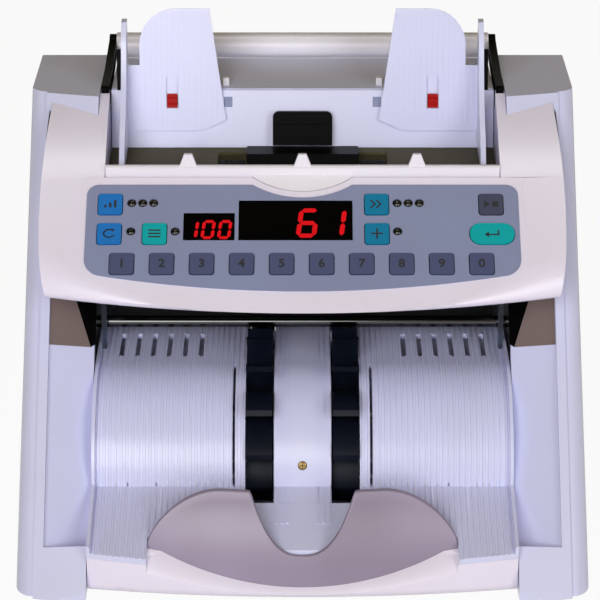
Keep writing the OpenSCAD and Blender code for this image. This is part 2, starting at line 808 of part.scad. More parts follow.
// Outline of a key: square, or oblong with round ends
module key_shape(k, grow = 0)
    rounded(k[3] + 2 * grow, key_s + 2 * grow, (k[3] > key_s ? key_s / 2 - 0.4 : 1.4) + grow);

module key(k) color(k[4]) place() on_panel(k[1], k[2], -key_foot)
    linear_extrude(key_foot + overlay_t + key_rise) key_shape(k);

// Stacker

// Outline of the ribs between two places, as (along X, height) points, with leaning or upright sides
function ribs(x0, x1, side) = let (
        n = floor((x1 - x0 - rib_pitch / 2) / rib_pitch),
        start = (x0 + x1 - n * rib_pitch) / 2,
        w = rib_pitch / 4
    ) [for (i = [0:n], p = [[-w, 0], [-w + side, rib_h], [w - side, rib_h], [w, 0]])
        [start + i * rib_pitch + p.x, p.y]];

// Section of a plate with some outline on top
function plate(x0, x1, outline) = concat([[x1, -tray_t], [x0, -tray_t], [x0, 0]], outline);

// Section of a ribbed plate with a standing flange at its far end
function flanged(x0, x1) = plate(x0, x1, concat(
    ribs(x0, x1 - flange.x, 0.2), [[x1 - flange.x, 0], [x1 - flange.x, flange.y], [x1, flange.y]]
));

// Section of the middle plate: ribs on both sides of a smooth strip
function middle(half, smooth) = plate(-half, half, concat(
    ribs(-half, -smooth, 0), ribs(smooth, half, 0), [[half, 0]]
));

function plain(x0, x1) = plate(x0, x1, [[x1, 0]]);

// Sweeps a plate section over the flat top and round the hump
module hump_sweep(section) {
    translate([0, hump_back, hump_top]) rotate([90, 0, 0])
        linear_extrude(hump_back - hump_y) polygon(section);
    translate([0, hump_y, hump_z]) rotate([0, 90, 0]) rotate([0, 0, 180])
        rotate_extrude(angle = hump_turn + hump_lap, $fn = 180)
            polygon([for (p = section) [hump_r + p.y, p.x]]);
}

// Sweeps a plate section down a stretch of the apron, measured from the hump
module apron_run(section, from, to)
    translate([0, apron_at.x, apron_at.y]) rotate([90 + apron_slope, 0, 0]) translate([0, 0, from])
        linear_extrude(to - from) polygon(section);

// Sweeps a plate section down the apron to the bowed front lip
module apron_sweep(section, from) intersection() {
    apron_run(section, from, apron_len);
    linear_extrude(far) bowed_plan(far, far);
}

module half_tray() {
    vents = [for (i = [0:5]) 51 + 8 * i];
    vent = [2.4, 26];
    section = flanged(slot_x[1], tray_half);
    difference() {
        union() {
            hump_sweep(section);
            apron_sweep(section, -apron_lap);
            // End wall down to the base pan
            across(tray_half - wall, tray_half) intersection() {
                union() {
                    translate([hump_y, hump_z]) circle(hump_r - tray_t / 2);
                    translate([hump_y, floor_top])
                        square([hump_back - hump_y, hump_top - floor_top - tray_t / 2]);
                }
                translate([-nose, floor_top]) square([far, far]);
            }
        }
        for (x = vents) translate([x - vent.x / 2, hump_y + 8, hump_top - 8]) cube([vent.x, vent.y, 16]);
        // Thin slit beside the wheel
        translate([slot_x[1] + 5, hump_y - hump_r - 2, hump_z + 7]) cube([1.2, hump_r + 1, hump_r]);
        rod(exit_at, shaft_r + 3, 0, body_w);
        rod(wheel_at, shaft_r + 2, 0, body_w);
    }
}

module stacker_tray() color("lavender") place() difference() {
    union() {
        both() half_tray();
        apron_sweep(plain(-slot_x[1], slot_x[1]), slot_run);
        apron_run(middle(plate_half, smooth_half), slot_run, rib_run);
        // Cross wall behind the wheels
        translate([-tray_half, hump_back - wall, floor_top])
            cube([2 * tray_half, wall, hump_top - floor_top - tray_t / 2]);
    }
    stop_front();
    // Seat of the centre plate in the cross wall
    translate([-slot_x[1], hump_back - wall - 1, hump_top - tray_t - fit])
        cube([2 * slot_x[1], wall + 2, far]);
}

// Everything ahead of the front stop's inner face, within its width
module stop_front() intersection() {
    translate([-stop_x - fit, -far, 0]) cube([2 * stop_x + 2 * fit, far + 40, hump_z + 6]);
    difference() {
        translate([-far, -far, floor_top]) cube([2 * far, 2 * far, far]);
        translate([0, stop_axis, 0]) rotate_extrude($fn = 180) intersection() {
            translate([stop_arc[0], stop_arc[1]]) circle(stop_arc[2] - stop_t - fit);
            translate([stop_arc[0], 0]) square([far, far]);
        }
        translate([0, stop_axis, 0]) cylinder(r = stop_arc[0] + 1, h = far);
    }
}

// Narrow ribbed plate between the paddle wheels, with a smooth middle
module centre_plate() color("lavender") place() difference() {
    section = middle(plate_half, smooth_half);
    union() {
        hump_sweep(section);
        apron_run(section, -apron_lap, slot_run - fit);
    }
    rod(exit_at, shaft_r + 3, -body_w, body_w);
}

module note_strips() color("white") place() both() {
    low = hump_top + rib_h;
    size = [2.2, 5];
    translate([hopper + 1.7, exit_at.x - shaft_r - 3 - size.y, low])
        cube([size.x, size.y, console_z - 2 - low]);
}

// Drive

// Front edge of the frame at a height, kept behind the dished cheek
function frame_edge(z) = (z - toe_h) * tan(lean) + frame_set;

// Steel plate that carries the shafts
module frame_plate() across(frame_x, frame_x + frame_t) difference() {
    back = rear_y - 24;
    top = floor_z + 3;
    prow = feed_at.x - roller_r;
    polygon([
        [frame_front, floor_top], [back, floor_top], [back, rear_z - 57], [rail_at.x + 14, top], [prow, top],
        [prow, frame_step], [frame_edge(frame_step), frame_step],
        [frame_front, toe_h + (frame_front - frame_set) / tan(lean)]
    ]);
    for (p = [wheel_at, exit_at, feed_at]) translate(p) circle(shaft_r + bore_fit);
    translate(rail_at) circle(rail_r + bore_fit);
    translate(motor_at) circle(motor_shaft_r + 0.5);
    translate([back - 46, 90]) circle(16);
}

module right_frame() color("silver") place() frame_plate();

module left_frame() color("silver") place() mirror([1, 0, 0]) frame_plate();

module drive_motor() color("gray") place() difference() {
    union() {
        rod(motor_at, motor_r, 40, frame_x);
        rod(motor_at, motor_r - 6, 32, 41);
        translate([44, motor_at.x - 16, floor_top]) cube([40, 32, motor_at.y - floor_top - 4]);
    }
    rod(motor_at, motor_shaft_r + bore_fit, frame_x - 14, frame_x + 1);
}

module motor_pulley() color("dimgray") place() {
    rod(motor_at, motor_shaft_r, frame_x - 13, belt_x[0]);
    rod(motor_at, motor_pulley_r - belt_gap, belt_x[0] - 0.1, belt_x[1]);
    rod(motor_at, motor_pulley_r + 2.5, belt_x[1], belt_x[1] + 1.5);
}

// Outline of a belt over two pulleys: an arc round each, joined by straight runs
function belt_points(a, b, ra, rb) = let (
        d = b - a,
        turn = atan2(d.y, d.x),
        wrap = acos((ra - rb) / norm(d)),
        n = 24
    ) concat(
        arc(a, ra, turn + wrap, turn + 360 - wrap, n),
        arc(b, rb, turn - wrap, turn + wrap, n)
    );

module belt(a, b, ra, rb) difference() {
    polygon(belt_points(a, b, ra + belt_t, rb + belt_t));
    polygon(belt_points(a, b, ra, rb));
}

module drive_belt() color("black") place()
    across(belt_x[0] + 0.5, belt_x[1] - 0.5) belt(motor_at, wheel_at, motor_pulley_r, stacker_pulley_r);

module feed_belt() color("black") place()
    across(-belt_x[1] + 0.5, -belt_x[0] - 0.5) belt(wheel_at, feed_at, feed_pulley_r, feed_pulley_r);

// Stacker shaft with the large drive pulley on the right and the feed pulley on the left
module stacker_shaft() color("silver") place() {
    rod(wheel_at, shaft_r, -belt_x[1] - 1, belt_x[1] + 1);
    rod(wheel_at, stacker_pulley_r - belt_gap, belt_x[0], belt_x[1]);
    rod(wheel_at, feed_pulley_r - belt_gap, -belt_x[1], -belt_x[0]);
}

module feed_shaft() color("silver") place() {
    rod(feed_at, shaft_r, -belt_x[1] - 1, frame_x + frame_t + 2);
    rod(feed_at, feed_pulley_r - belt_gap, -belt_x[1], -belt_x[0]);
}

module feed_rollers() color("dimgray") place() both() difference() {
    grooves = 4;
    pitch = (roller_x[1] - roller_x[0]) / grooves;
    rod(feed_at, roller_r, roller_x[0], roller_x[1]);
    rod(feed_at, shaft_r, 0, far);
    for (i = [1:grooves - 1]) difference() {
        rod(feed_at, roller_r + 1, roller_x[0] + i * pitch - 0.4, roller_x[0] + i * pitch + 0.4);
        rod(feed_at, roller_r - 1.2, 0, far);
    }
}

// Exit shaft, turned by the back of the feed belt
module exit_shaft() color("silver") place() {
    rod(exit_at, shaft_r, -belt_x[1], frame_x + frame_t + 2);
    rod(exit_at, exit_pulley_r, -belt_x[1], -belt_x[0]);
}

// Paddle wheel: a hub and a ring of curved flexible paddles
module paddle_wheel() {
    hub = 15;
    blade_t = 1.6;
    blade_r = 24;
    rod(wheel_at, hub, wheel_x - wheel_w / 2, wheel_x + wheel_w / 2);
    across(wheel_x - wheel_w / 2, wheel_x + wheel_w / 2) translate(wheel_at) intersection() {
        circle(wheel_r);
        for (i = [0:paddles - 1]) rotate(360 / paddles * i) translate([hub - 2, blade_r]) intersection() {
            difference() {
                circle(blade_r);
                circle(blade_r - blade_t);
            }
            translate([0, -blade_r]) square([blade_r, blade_r + 12]);
        }
    }
}

module drilled_wheel() difference() {
    paddle_wheel();
    rod(wheel_at, shaft_r, -body_w, body_w);
}

module right_stacker_wheel() color("midnightblue") place() drilled_wheel();

module left_stacker_wheel() color("midnightblue") place() mirror([1, 0, 0]) drilled_wheel();

// Main board on four posts, with its transformer and capacitors
module main_board() color("green") place() {
    post = 5;
    size = [0.38 * body_w, 0.2 * body_d];
    start = [-0.31 * body_w, rear_y - size.y - 20, floor_top];
    translate(start + [0, 0, post]) cube([size.x, size.y, board_t]);
    for (x = [5, size.x - 5], y = [4, size.y - 4]) translate(start + [x, y, 0])
        cylinder(r = 3, h = post + 0.1);
    translate(start + [25, 10, post + 1]) cube([32, 26, 22]);
    for (i = [0:2]) translate(start + [73 + 12 * i, 22, post + 1]) cylinder(r = 5, h = 16);
}

// Guides and handle

module guide_rail() color("silver") place() rod(rail_at, rail_r, -frame_x - frame_t, frame_x + frame_t);

// Front outline of the right guide plate, as (x, up the plate)
module guide_outline() {
    edge = guide_x[2] - 6;
    step = guide_foot + guide_step;
    top = guide_foot + guide_h;
    polygon([
        [guide_x[1], guide_foot], [guide_x[2], guide_foot], [guide_x[2], step], [edge, step],
        [edge, top - guide_round], [edge - guide_round, top], [guide_x[0] + 8.2, top],
        [guide_x[0], guide_foot + guide_bevel]
    ]);
    translate([edge - guide_round, top - guide_round]) circle(guide_round);
}

// Side view of a guide's side wall: hollowed front edge, running forward over the hopper floor
module guide_wall_side() {
    foot = floor_z + 5;
    top = [back_y + 13, back_z + 64];
    reach = 38;
    difference() {
        polygon([
            [back_y - reach, foot], [back_y - 2, foot + 2.5], [back_y + 3, back_z + guide_foot], top,
            [top.x - 6, top.y]
        ]);
        translate([back_y - reach - 30, foot + 74]) circle(72);
        on_back_side();
    }
}

// Half-plane behind the guides, in side view
module on_back_side()
    translate([back_y, back_z]) rotate(-hopper_lean) translate([-gap, -far]) square([far, 2 * far]);

module right_guide_body() {
    recess = 1.4;
    ribs = [for (x = [guide_x[0] + 1.5:rib_pitch:guide_x[2] - 3]) x];
    difference() {
        union() {
            on_back(gap) linear_extrude(guide_t) guide_outline();
            on_back(guide_lift - 0.01) intersection() {
                linear_extrude(rib_h) guide_outline();
                for (x = ribs) translate([x, guide_foot + 2, 0]) cube([rib_pitch / 2, guide_h - 4, rib_h]);
            }
            across(guide_wall[0], guide_wall[1]) guide_wall_side();
        }
        on_back(guide_lift - recess) translate([lock_x - lock_size.x / 2 - gap, lock_s - gap + guide_foot, 0])
            cube([lock_size.x + 2 * gap, lock_size.y + lock_travel + 2 * gap, 5]);
    }
    // Lug through the back plate and bush on the rail
    difference() {
        across(lug_x[0], lug_x[1]) union() {
            polygon([
                [back_y + 1.6, lug_z[0]], [rail_at.x + 5, lug_z[0]], [rail_at.x + 5, lug_z[1]],
                [back_y + 2.9, lug_z[1]]
            ]);
            translate([rail_at.x - 5, rail_at.y]) square([10, lug_z[0] + 1 - rail_at.y]);
            translate(rail_at) circle(rail_r + 2.6);
        }
        rod(rail_at, rail_r + bore_fit, 0, body_w);
    }
}

module right_guide() color("lavender") place() right_guide_body();

module left_guide() color("lavender") place() mirror([1, 0, 0]) right_guide_body();

module lock_body() on_back(guide_lift - 1.4 + 0.1)
    translate([lock_x, guide_foot + lock_s + lock_size.y / 2, 0]) difference() {
        linear_extrude(2.2) rounded(lock_size.x, lock_size.y, 0.6);
        for (i = [-1, 1]) translate([-lock_size.x, i * 1.4, 2.4]) rotate([0, 90, 0])
            cylinder(r = 0.5, h = 12);
    }

module right_guide_lock() color("crimson") place() lock_body();

module left_guide_lock() color("crimson") place() mirror([1, 0, 0]) lock_body();

module handle_grip() color("lavender") place() rod(grip_at, grip_r, -arm_x[0], arm_x[0]);

// Slotted arm from the pivot to the grip bar
module arm() across(arm_x[0], arm_x[1]) difference() {
    union() {
        translate(handle_at) circle(arm_half);
        translate(grip_at) circle(arm_half + 0.6);
        translate(handle_at) rotate(handle_rest) translate([0, -arm_half + 0.6])
            square([handle_len, 2 * arm_half - 1.2]);
    }
    translate(handle_at) circle(pin_r + bore_fit);
    translate(handle_at) rotate(handle_rest) translate([handle_len / 2 + 2, 0])
        rounded(handle_len - 26, 4, 1.9);
}

module handle_arms() color("black") place() both() arm();

base_pan();
rubber_feet();
left_side_cover();
right_side_cover();
rear_cover();
top_cover();
back_plate();
note_sensor();
hopper_lip();
hopper_floor();
separator_block();
front_console();
key_overlay();
count_display();
batch_display();
indicator_lamps();
control_board();
note_strips();
left_frame();
right_frame();
stacker_tray();
centre_plate();
front_stop();
drive_motor();
main_board();
drive_belt();
feed_belt();
power_inlet();
guide_rail();
left_guide();
right_guide();
left_guide_lock();
right_guide_lock();
handle_grip();
handle_arms();
feed_shaft();
feed_rollers();
exit_shaft();
stacker_shaft();
left_stacker_wheel();
right_stacker_wheel();
motor_pulley();
power_switch();
for (k = KEYS) key(k);
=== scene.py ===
"""Looks of a desk-top banknote counter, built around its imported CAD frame."""

import logging
import math
from dataclasses import dataclass, field
from enum import Enum
from typing import Any, ClassVar, Iterable, Sequence

import bmesh
import bpy
from mathutils import Matrix, Vector


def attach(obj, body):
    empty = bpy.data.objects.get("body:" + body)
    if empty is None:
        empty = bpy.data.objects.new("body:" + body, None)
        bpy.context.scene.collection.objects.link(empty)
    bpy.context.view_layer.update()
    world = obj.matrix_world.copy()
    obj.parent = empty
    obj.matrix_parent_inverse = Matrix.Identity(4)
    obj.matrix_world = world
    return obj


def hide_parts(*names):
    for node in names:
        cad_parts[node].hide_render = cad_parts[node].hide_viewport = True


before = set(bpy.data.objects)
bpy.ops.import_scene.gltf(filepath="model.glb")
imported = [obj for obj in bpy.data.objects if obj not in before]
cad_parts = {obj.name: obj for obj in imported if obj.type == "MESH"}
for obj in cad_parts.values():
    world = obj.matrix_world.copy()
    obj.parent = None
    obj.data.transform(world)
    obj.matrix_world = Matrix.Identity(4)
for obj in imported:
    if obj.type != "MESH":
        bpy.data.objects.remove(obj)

logging.basicConfig(level=logging.INFO, format="%(levelname)s %(message)s")
log = logging.getLogger("banknote_counter")

MM = 0.001
# Height of a print above its surface, in millimetres
PRINT_LIFT = 0.03
CASING = "casing"
Point = tuple[float, float]


class Side(Enum):
    """Left and right as signs along X."""

    LEFT = -1
    RIGHT = 1


def linear(hex_colour: str) -> tuple[float, float, float, float]:
    """Turns an sRGB hex colour into the linear values that shaders use.

    Args:
        hex_colour: Six hex digits, such as "D8D9E6".

    Returns:
        Red, green, blue and an alpha of one.
    """
    parts = [int(hex_colour[i:i + 2], 16) / 255 for i in (0, 2, 4)]
    r, g, b = (c / 12.92 if c <= 0.04045 else ((c + 0.055) / 1.055) ** 2.4 for c in parts)
    return r, g, b, 1.0


def add_node(tree: bpy.types.NodeTree, kind: str, settings: dict[str | int, Any] | None = None,
             links: dict[str | int, bpy.types.NodeSocket] | None = None) -> bpy.types.Node:
    """Adds one node to a tree, with its settings and incoming links.

    Args:
        tree: Shader or geometry tree.
        kind: Blender's node type name.
        settings: Property names, or names or numbers of input sockets, to values.
        links: Names or numbers of input sockets to the sockets that feed them.

    Returns:
        The new node.
    """
    node = tree.nodes.new(kind)
    for name, value in (settings or {}).items():
        if isinstance(name, str) and hasattr(node, name):
            setattr(node, name, value)
        else:
            node.inputs[name].default_value = value
    for name, source in (links or {}).items():
        tree.links.new(source, node.inputs[name])
    return node


def empty_tree(owner: bpy.types.Material | bpy.types.World) -> bpy.types.NodeTree:
    """Turns on the nodes of a material or a world and empties its tree.

    Args:
        owner: The material or the world.

    Returns:
        Its empty tree.
    """
    owner.use_nodes = True
    owner.node_tree.nodes.clear()
    return owner.node_tree


def add_object(name: str, data: bpy.types.ID) -> bpy.types.Object:
    """Adds an object to the scene.

    Args:
        name: Name of the object.
        data: Its mesh, curve, light or camera.

    Returns:
        The new object.
    """
    made = bpy.data.objects.new(name, data)
    bpy.context.scene.collection.objects.link(made)
    return made


def add_mesh(name: str, verts: Iterable[Sequence[float]],
             faces: Sequence[Sequence[int]]) -> bpy.types.Object:
    """Adds a mesh object to the scene.

    Args:
        name: Name of the object.
        verts: Points in the row frame, in metres.
        faces: Point numbers of each face.

    Returns:
        The new object.
    """
    mesh = bpy.data.meshes.new(name)
    mesh.from_pydata([tuple(v) for v in verts], [], faces)
    return add_object(name, mesh)


def spread(start: float, end: float, steps: int) -> list[float]:
    """Evenly spaced values from one number to another, both included."""
    return [start + (end - start) * i / steps for i in range(steps + 1)]


def fall_back(radius: float, x: float) -> float:
    """How far an arc falls back from its middle at a place beside it, in the unit of both."""
    return radius - math.sqrt(radius ** 2 - x ** 2)


@dataclass(frozen=True)
class Finish:
    """A surface: one principled shader with a fine moulded grain.

    Attributes:
        name: Name of the real material.
        colour: sRGB hex colour.
        roughness: Shader roughness.
        grain: Size of the surface grain in millimetres, 0 for none.
        relief: Depth of the grain in millimetres.
        mottle: How far the grain shifts the roughness either way.
        drift: sRGB hex colour that broad patches lean to, empty for none.
        shine: Strength of the mirror-like reflection, 0.5 for a plain plastic.
        ior: Index of refraction of a plain plastic.
        grain_detail: Layers of noise in the grain.
        bump: Share of the grain's depth that shows.
        patch: Size of the broad patches in millimetres.
        patch_detail: Layers of noise in the patches.
        patch_ends: Noise values where each of the two colours is pure.
    """

    ior: ClassVar[float] = 1.5
    grain_detail: ClassVar[float] = 2.0
    bump: ClassVar[float] = 0.5
    patch: ClassVar[float] = 45.0
    patch_detail: ClassVar[float] = 1.0
    patch_ends: ClassVar[Point] = (0.3, 0.7)

    name: str
    colour: str
    roughness: float
    grain: float = 0.0
    relief: float = 0.0
    mottle: float = 0.0
    drift: str = ""
    shine: float = 0.5

    def settings(self) -> dict[str | int, Any]:
        """Inputs of the principled shader that give the surface its look."""
        return {"Base Color": linear(self.colour), "Roughness": self.roughness, "IOR": self.ior,
                "Specular IOR Level": self.shine}

    def build(self) -> bpy.types.Material:
        """Makes the material, or finds the one made before.

        Returns:
            The material.
        """
        found = bpy.data.materials.get(self.name)
        if found:
            return found
        material = bpy.data.materials.new(self.name)
        tree = empty_tree(material)
        shader = add_node(tree, "ShaderNodeBsdfPrincipled", self.settings())
        if self.grain:
            self.add_grain(tree, shader)
        if self.drift:
            self.add_drift(tree, shader)
        add_node(tree, "ShaderNodeOutputMaterial", links={"Surface": shader.outputs[0]})
        return material

    def add_grain(self, tree: bpy.types.NodeTree, shader: bpy.types.Node) -> None:
        """Roughens the shader with noise of a real size.

        Args:
            tree: Tree that holds the shader.
            shader: Shader to link the grain to.
        """
        place = add_node(tree, "ShaderNodeTexCoord")
        noise = add_node(tree, "ShaderNodeTexNoise",
                         {"Scale": 1 / (self.grain * MM), "Detail": self.grain_detail},
                         {"Vector": place.outputs["Object"]})
        bump = add_node(tree, "ShaderNodeBump", {"Strength": self.bump, "Distance": self.relief * MM},
                        {"Height": noise.outputs["Fac"]})
        tree.links.new(bump.outputs["Normal"], shader.inputs["Normal"])
        spread = add_node(tree, "ShaderNodeMapRange",
                          {"To Min": self.roughness - self.mottle, "To Max": self.roughness + self.mottle},
                          {"Value": noise.outputs["Fac"]})
        tree.links.new(spread.outputs["Result"], shader.inputs["Roughness"])

    def add_drift(self, tree: bpy.types.NodeTree, shader: bpy.types.Node) -> None:
        """Lets the colour lean to a second one in broad, soft patches.

        Args:
            tree: Tree that holds the shader.
            shader: Shader to link the colour to.
        """
        place = add_node(tree, "ShaderNodeTexCoord")
        noise = add_node(tree, "ShaderNodeTexNoise",
                         {"Scale": 1 / (self.patch * MM), "Detail": self.patch_detail},
                         {"Vector": place.outputs["Object"]})
        ramp = add_node(tree, "ShaderNodeValToRGB", links={"Fac": noise.outputs["Fac"]})
        for stop, at, colour in zip(ramp.color_ramp.elements, self.patch_ends, (self.colour, self.drift)):
            stop.position = at
            stop.color = linear(colour)
        tree.links.new(ramp.outputs["Color"], shader.inputs["Base Color"])


@dataclass(frozen=True)
class PaintedShadeBelow(Finish):
    """A finish painted black below a height as painted shade, with its own colour above it.

    Attributes:
        shade_colour: sRGB hex colour of the painted shade below the edge.
        edge: Height where the painted shade ends, in millimetres above the table.
    """

    shade_colour: str = "000000"
    edge: float = 0.0

    def add_drift(self, tree: bpy.types.NodeTree, shader: bpy.types.Node) -> None:
        """Lets the colour above the edge lean to a second one, and paints the shade colour below the edge.

        Args:
            tree: Tree that holds the shader.
            shader: Shader to link the colour to.
        """
        super().add_drift(tree, shader)
        paint = shader.inputs["Base Color"].links[0].from_socket
        place = add_node(tree, "ShaderNodeNewGeometry")
        height = add_node(tree, "ShaderNodeSeparateXYZ", links={"Vector": place.outputs["Position"]})
        above = add_node(tree, "ShaderNodeMath", {"operation": "GREATER_THAN", 1: self.edge * MM},
                         {0: height.outputs["Z"]})
        mix = add_node(tree, "ShaderNodeMix", {"data_type": "RGBA"}, {"Factor": above.outputs[0]})
        below, painted = (socket for socket in mix.inputs if socket.type == "RGBA")
        below.default_value = linear(self.shade_colour)
        tree.links.new(paint, painted)
        mixed = next(socket for socket in mix.outputs if socket.type == "RGBA")
        tree.links.new(mixed, shader.inputs["Base Color"])


@dataclass(frozen=True)
class Metal(Finish):
    """A bare metal: fully metallic, with the default index of refraction."""

    def settings(self) -> dict[str | int, Any]:
        """Inputs of a metallic shader."""
        return {"Base Color": linear(self.colour), "Roughness": self.roughness, "Metallic": 1.0}


@dataclass(frozen=True)
class Glow(Finish):
    """A lit segment: a dark lens that shines in its own colour.

    Attributes:
        lit: sRGB hex colour of the light.
    """

    lit: str = "FFFFFF"

    def settings(self) -> dict[str | int, Any]:
        """Inputs of a plain shader that also gives light."""
        return super().settings() | {"Emission Color": linear(self.lit), "Emission Strength": 1.0}


@dataclass(frozen=True)
class Clear(Finish):
    """A clear plastic: light passes through and bends."""

    ior: ClassVar[float] = 1.49

    def settings(self) -> dict[str | int, Any]:
        """Inputs of a plain shader that lets light through."""
        return super().settings() | {"Transmission Weight": 1.0}


class Finishes:
    """Every finish on the counter, named for its real material."""

    # A moulded, sprayed or printed grain of about 0.1 mm is too fine to show in the render, so every
    # grain here is drawn at 0.2 mm or more

    # Glossy moulded ABS: pale lilac-grey with soft, slightly broken highlights
    CASING = Finish("abs_pale_lilac", "D3D5F5", 0.26, 0.5, 0.004, 0.04, "D0D2F0")
    # The same moulding in a warmer white, for the console and the base
    CONSOLE = Finish("abs_warm_white", "E8E2F6", 0.26, 0.5, 0.004, 0.04, "E5DEF0")
    # The pale plastic darkened to a mauve grey: painted shade on the front stop's face
    STOP_PAINTED_SHADE = Finish("abs_lilac_painted_shade", "988CA6", 0.36, 0.5, 0.004, 0.05, "8D8096")
    # White ABS strip: the brightest, cleanest edge, in front of the notes
    LIP = Finish("abs_white", "EBE8F4", 0.28, 0.5, 0.004, 0.04, "E8E4F0")
    # Printed polyester film: flat mid grey that lets the keys stand out
    OVERLAY = Finish("polyester_film_grey", "868EB2", 0.5, 0.3, 0.003, 0.05, "8389AC", 0.35)
    # Tinted acrylic: black window with one sharp reflection
    WINDOW = Finish("acrylic_black", "010102", 0.12, 8.0, 0.001, 0.02, shine=0.08)
    # Textured black ABS: deep black with a broad dull sheen; the same black also draws a sheet of painted
    # shadow at the top of each cheek
    BLACK_AND_SHADOW = Finish("abs_black_and_painted_shadow", "030304", 0.4, 0.4, 0.008, 0.06, shine=0.04)
    # Clear-coated lamp lens: black dome with a pin-point glint
    LENS = Finish("lamp_lens_black", "0A0A0B", 0.1, 1.0, 0.001, 0.02)
    # Floor under the notes: dark olive-brown that is partly its own colour and partly painted shade, barely
    # reflecting; below 150 mm its chute is painted black as the shade under the console
    FLOOR_AND_SHADE = PaintedShadeBelow("floor_dark_and_painted_shade", "565139", 0.5, 0.6, 0.01, 0.06, "4F4A34", 0.2, "020202", 150.0)
    # Grey-brown painted shadow: thin sheets at the tops of the cheeks that stand for the shade under the
    # console
    CHEEK_SHADOW = Finish("brown_painted_shadow", "7A6B68", 0.5, 0.6, 0.006, 0.05, "746561", 0.2)
    # Nitrile rubber: soft black without highlights; the same black draws the strips of painted shadow in
    # the seams beside the cowls
    RUBBER_AND_SHADOW = Finish("nitrile_rubber_and_painted_shadow", "161618", 0.72, 0.6, 0.02, 0.05, shine=0.2)
    # Polyurethane paddles: blue-black with a faint sheen on each blade
    PADDLE = Finish("polyurethane_blue_black", "090E18", 0.45, 0.8, 0.01, 0.06, "0D1422", 0.15)
    # Ground steel shaft: bright lines along its length
    SHAFT = Metal("ground_steel", "8B8D90", 0.32, 0.3, 0.003, 0.06)
    # Steel of the exit shaft, coloured black as painted shade under the console: a thin bright line along
    # its length
    SHAFT_PAINTED_SHADE = Finish("steel_black_painted_shade", "040405", 0.12, 0.3, 0.001, 0.02, shine=1.0)
    # Zinc-plated sheet: cloudy grey metal
    SHEET = Metal("zinc_plated_steel", "A9ABAE", 0.42, 3.0, 0.004, 0.1)
    # Solder resist on glass-epoxy board: even green
    BOARD = Finish("glass_epoxy_green", "1E6B3C", 0.4, 1.0, 0.004, 0.05)
    # Yellow-passivated screw: a warm, dark ring around its recess
    SCREW = Metal("yellow_zinc_steel", "8A7448", 0.35, 0.3, 0.003, 0.06)
    # Frosted polycarbonate strip: a pale blue-grey glow along its edges
    STRIP = Clear("polycarbonate_frosted", "A9B8C6", 0.45)
    # Grey silicone keys: matt, a little darker than the film
    NUMBER_KEY = Finish("silicone_grey", "4C5276", 0.55, 0.3, 0.004, 0.05, shine=0.15)
    # Dark grey silicone of the start key: matt, the quietest key
    START_KEY = Finish("silicone_dark_grey", "444960", 0.55, 0.3, 0.004, 0.05, shine=0.15)
    # Blue silicone of the mode keys: matt and saturated
    BLUE_KEY = Finish("silicone_blue", "1C74C4", 0.55, 0.3, 0.004, 0.05, shine=0.12)
    # Teal-blue silicone of the speed and add keys: matt, between the blue and the green
    TEAL_KEY = Finish("silicone_teal_blue", "0A7AA4", 0.55, 0.3, 0.004, 0.05, shine=0.12)
    # Green-blue silicone of the batch and reset keys: matt, the lightest keys
    GREEN_KEY = Finish("silicone_green_blue", "02A6AC", 0.55, 0.3, 0.004, 0.05, shine=0.12)
    # Red acetal slide: the one saturated spot on each guide
    LOCK = Finish("acetal_red", "A80606", 0.35, 0.5, 0.004, 0.04, "9C0505", 0.1)
    # Dark screen ink of the numerals and key marks, slightly uneven; the same ink draws the painted shadow
    # in the screw's cross recess
    INK_AND_SHADOW = Finish("ink_dark_and_painted_shadow", "12141C", 0.6, 0.2, 0.002, 0.05)
    # Red light-emitting segments: crisp bars that glow on the black window
    SEGMENT = Glow("led_red", "240304", 0.5, shine=0.05, lit="D60A14")


@dataclass(frozen=True)
class Plane:
    """A flat working plane in the row frame.

    Attributes:
        origin: Point on the plane, in millimetres.
        right: Unit vector along the plane's first axis.
        up: Unit vector along the plane's second axis.
    """

    origin: Vector
    right: Vector
    up: Vector

    @classmethod
    def rising(cls, origin: Vector, slope: float) -> "Plane":
        """Makes a plane that rises to the back.

        Args:
            origin: Point on the plane, in millimetres.
            slope: Slope in degrees, 0 for level and 90 for upright.

        Returns:
            The plane, with its first axis to the right.
        """
        angle = math.radians(slope)
        return cls(origin, Vector((1, 0, 0)), Vector((0, math.cos(angle), math.sin(angle))))

    @property
    def normal(self) -> Vector:
        """Unit vector out of the plane."""
        return self.right.cross(self.up)

    def point(self, x: float, y: float, out: float = 0.0) -> Vector:
        """Row-frame point, in metres, of plane coordinates in millimetres."""
        return (self.origin + x * self.right + y * self.up + out * self.normal) * MM


def mesh_piece(name: str, verts: Sequence[Vector], faces: Sequence[Sequence[int]], finish: Finish,
               body: str) -> bpy.types.Object:
    """Adds a mesh piece that rides on a body.

    Args:
        name: Name of the piece.
        verts: Points in the row frame, in metres.
        faces: Point numbers of each face.
        finish: Finish of the piece.
        body: CAD body that carries it.

    Returns:
        The new object.
    """
    piece = add_mesh(name, verts, faces)
    piece.data.materials.append(finish.build())
    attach(piece, body)
    log.info("piece %s on %s, %d faces", name, body, len(faces))
    return piece


def print_shapes(name: str, shapes: Iterable[Sequence[Point]], plane: Plane, lift: float, finish: Finish,
                 body: str) -> None:
    """Prints flat outlines on a plane as one thin piece.

    Args:
        name: Name of the piece.
        shapes: Convex outlines in plane millimetres.
        plane: Plane to print on.
        lift: Height of the print above the plane, in millimetres.
        finish: Ink or light.
        body: CAD body that carries the print.
    """
    verts: list[Vector] = []
    faces: list[list[int]] = []
    for outline in shapes:
        faces.append(list(range(len(verts), len(verts) + len(outline))))
        verts += [plane.point(x, y, lift) for x, y in outline]
    mesh_piece(name, verts, faces, finish, body)


def ring(r: float, count: int) -> list[Point]:
    """Outline of a circle around the plane's origin, in plane millimetres."""
    turns = (2 * math.pi * i / count for i in range(count))
    return [(r * math.cos(t), r * math.sin(t)) for t in turns]


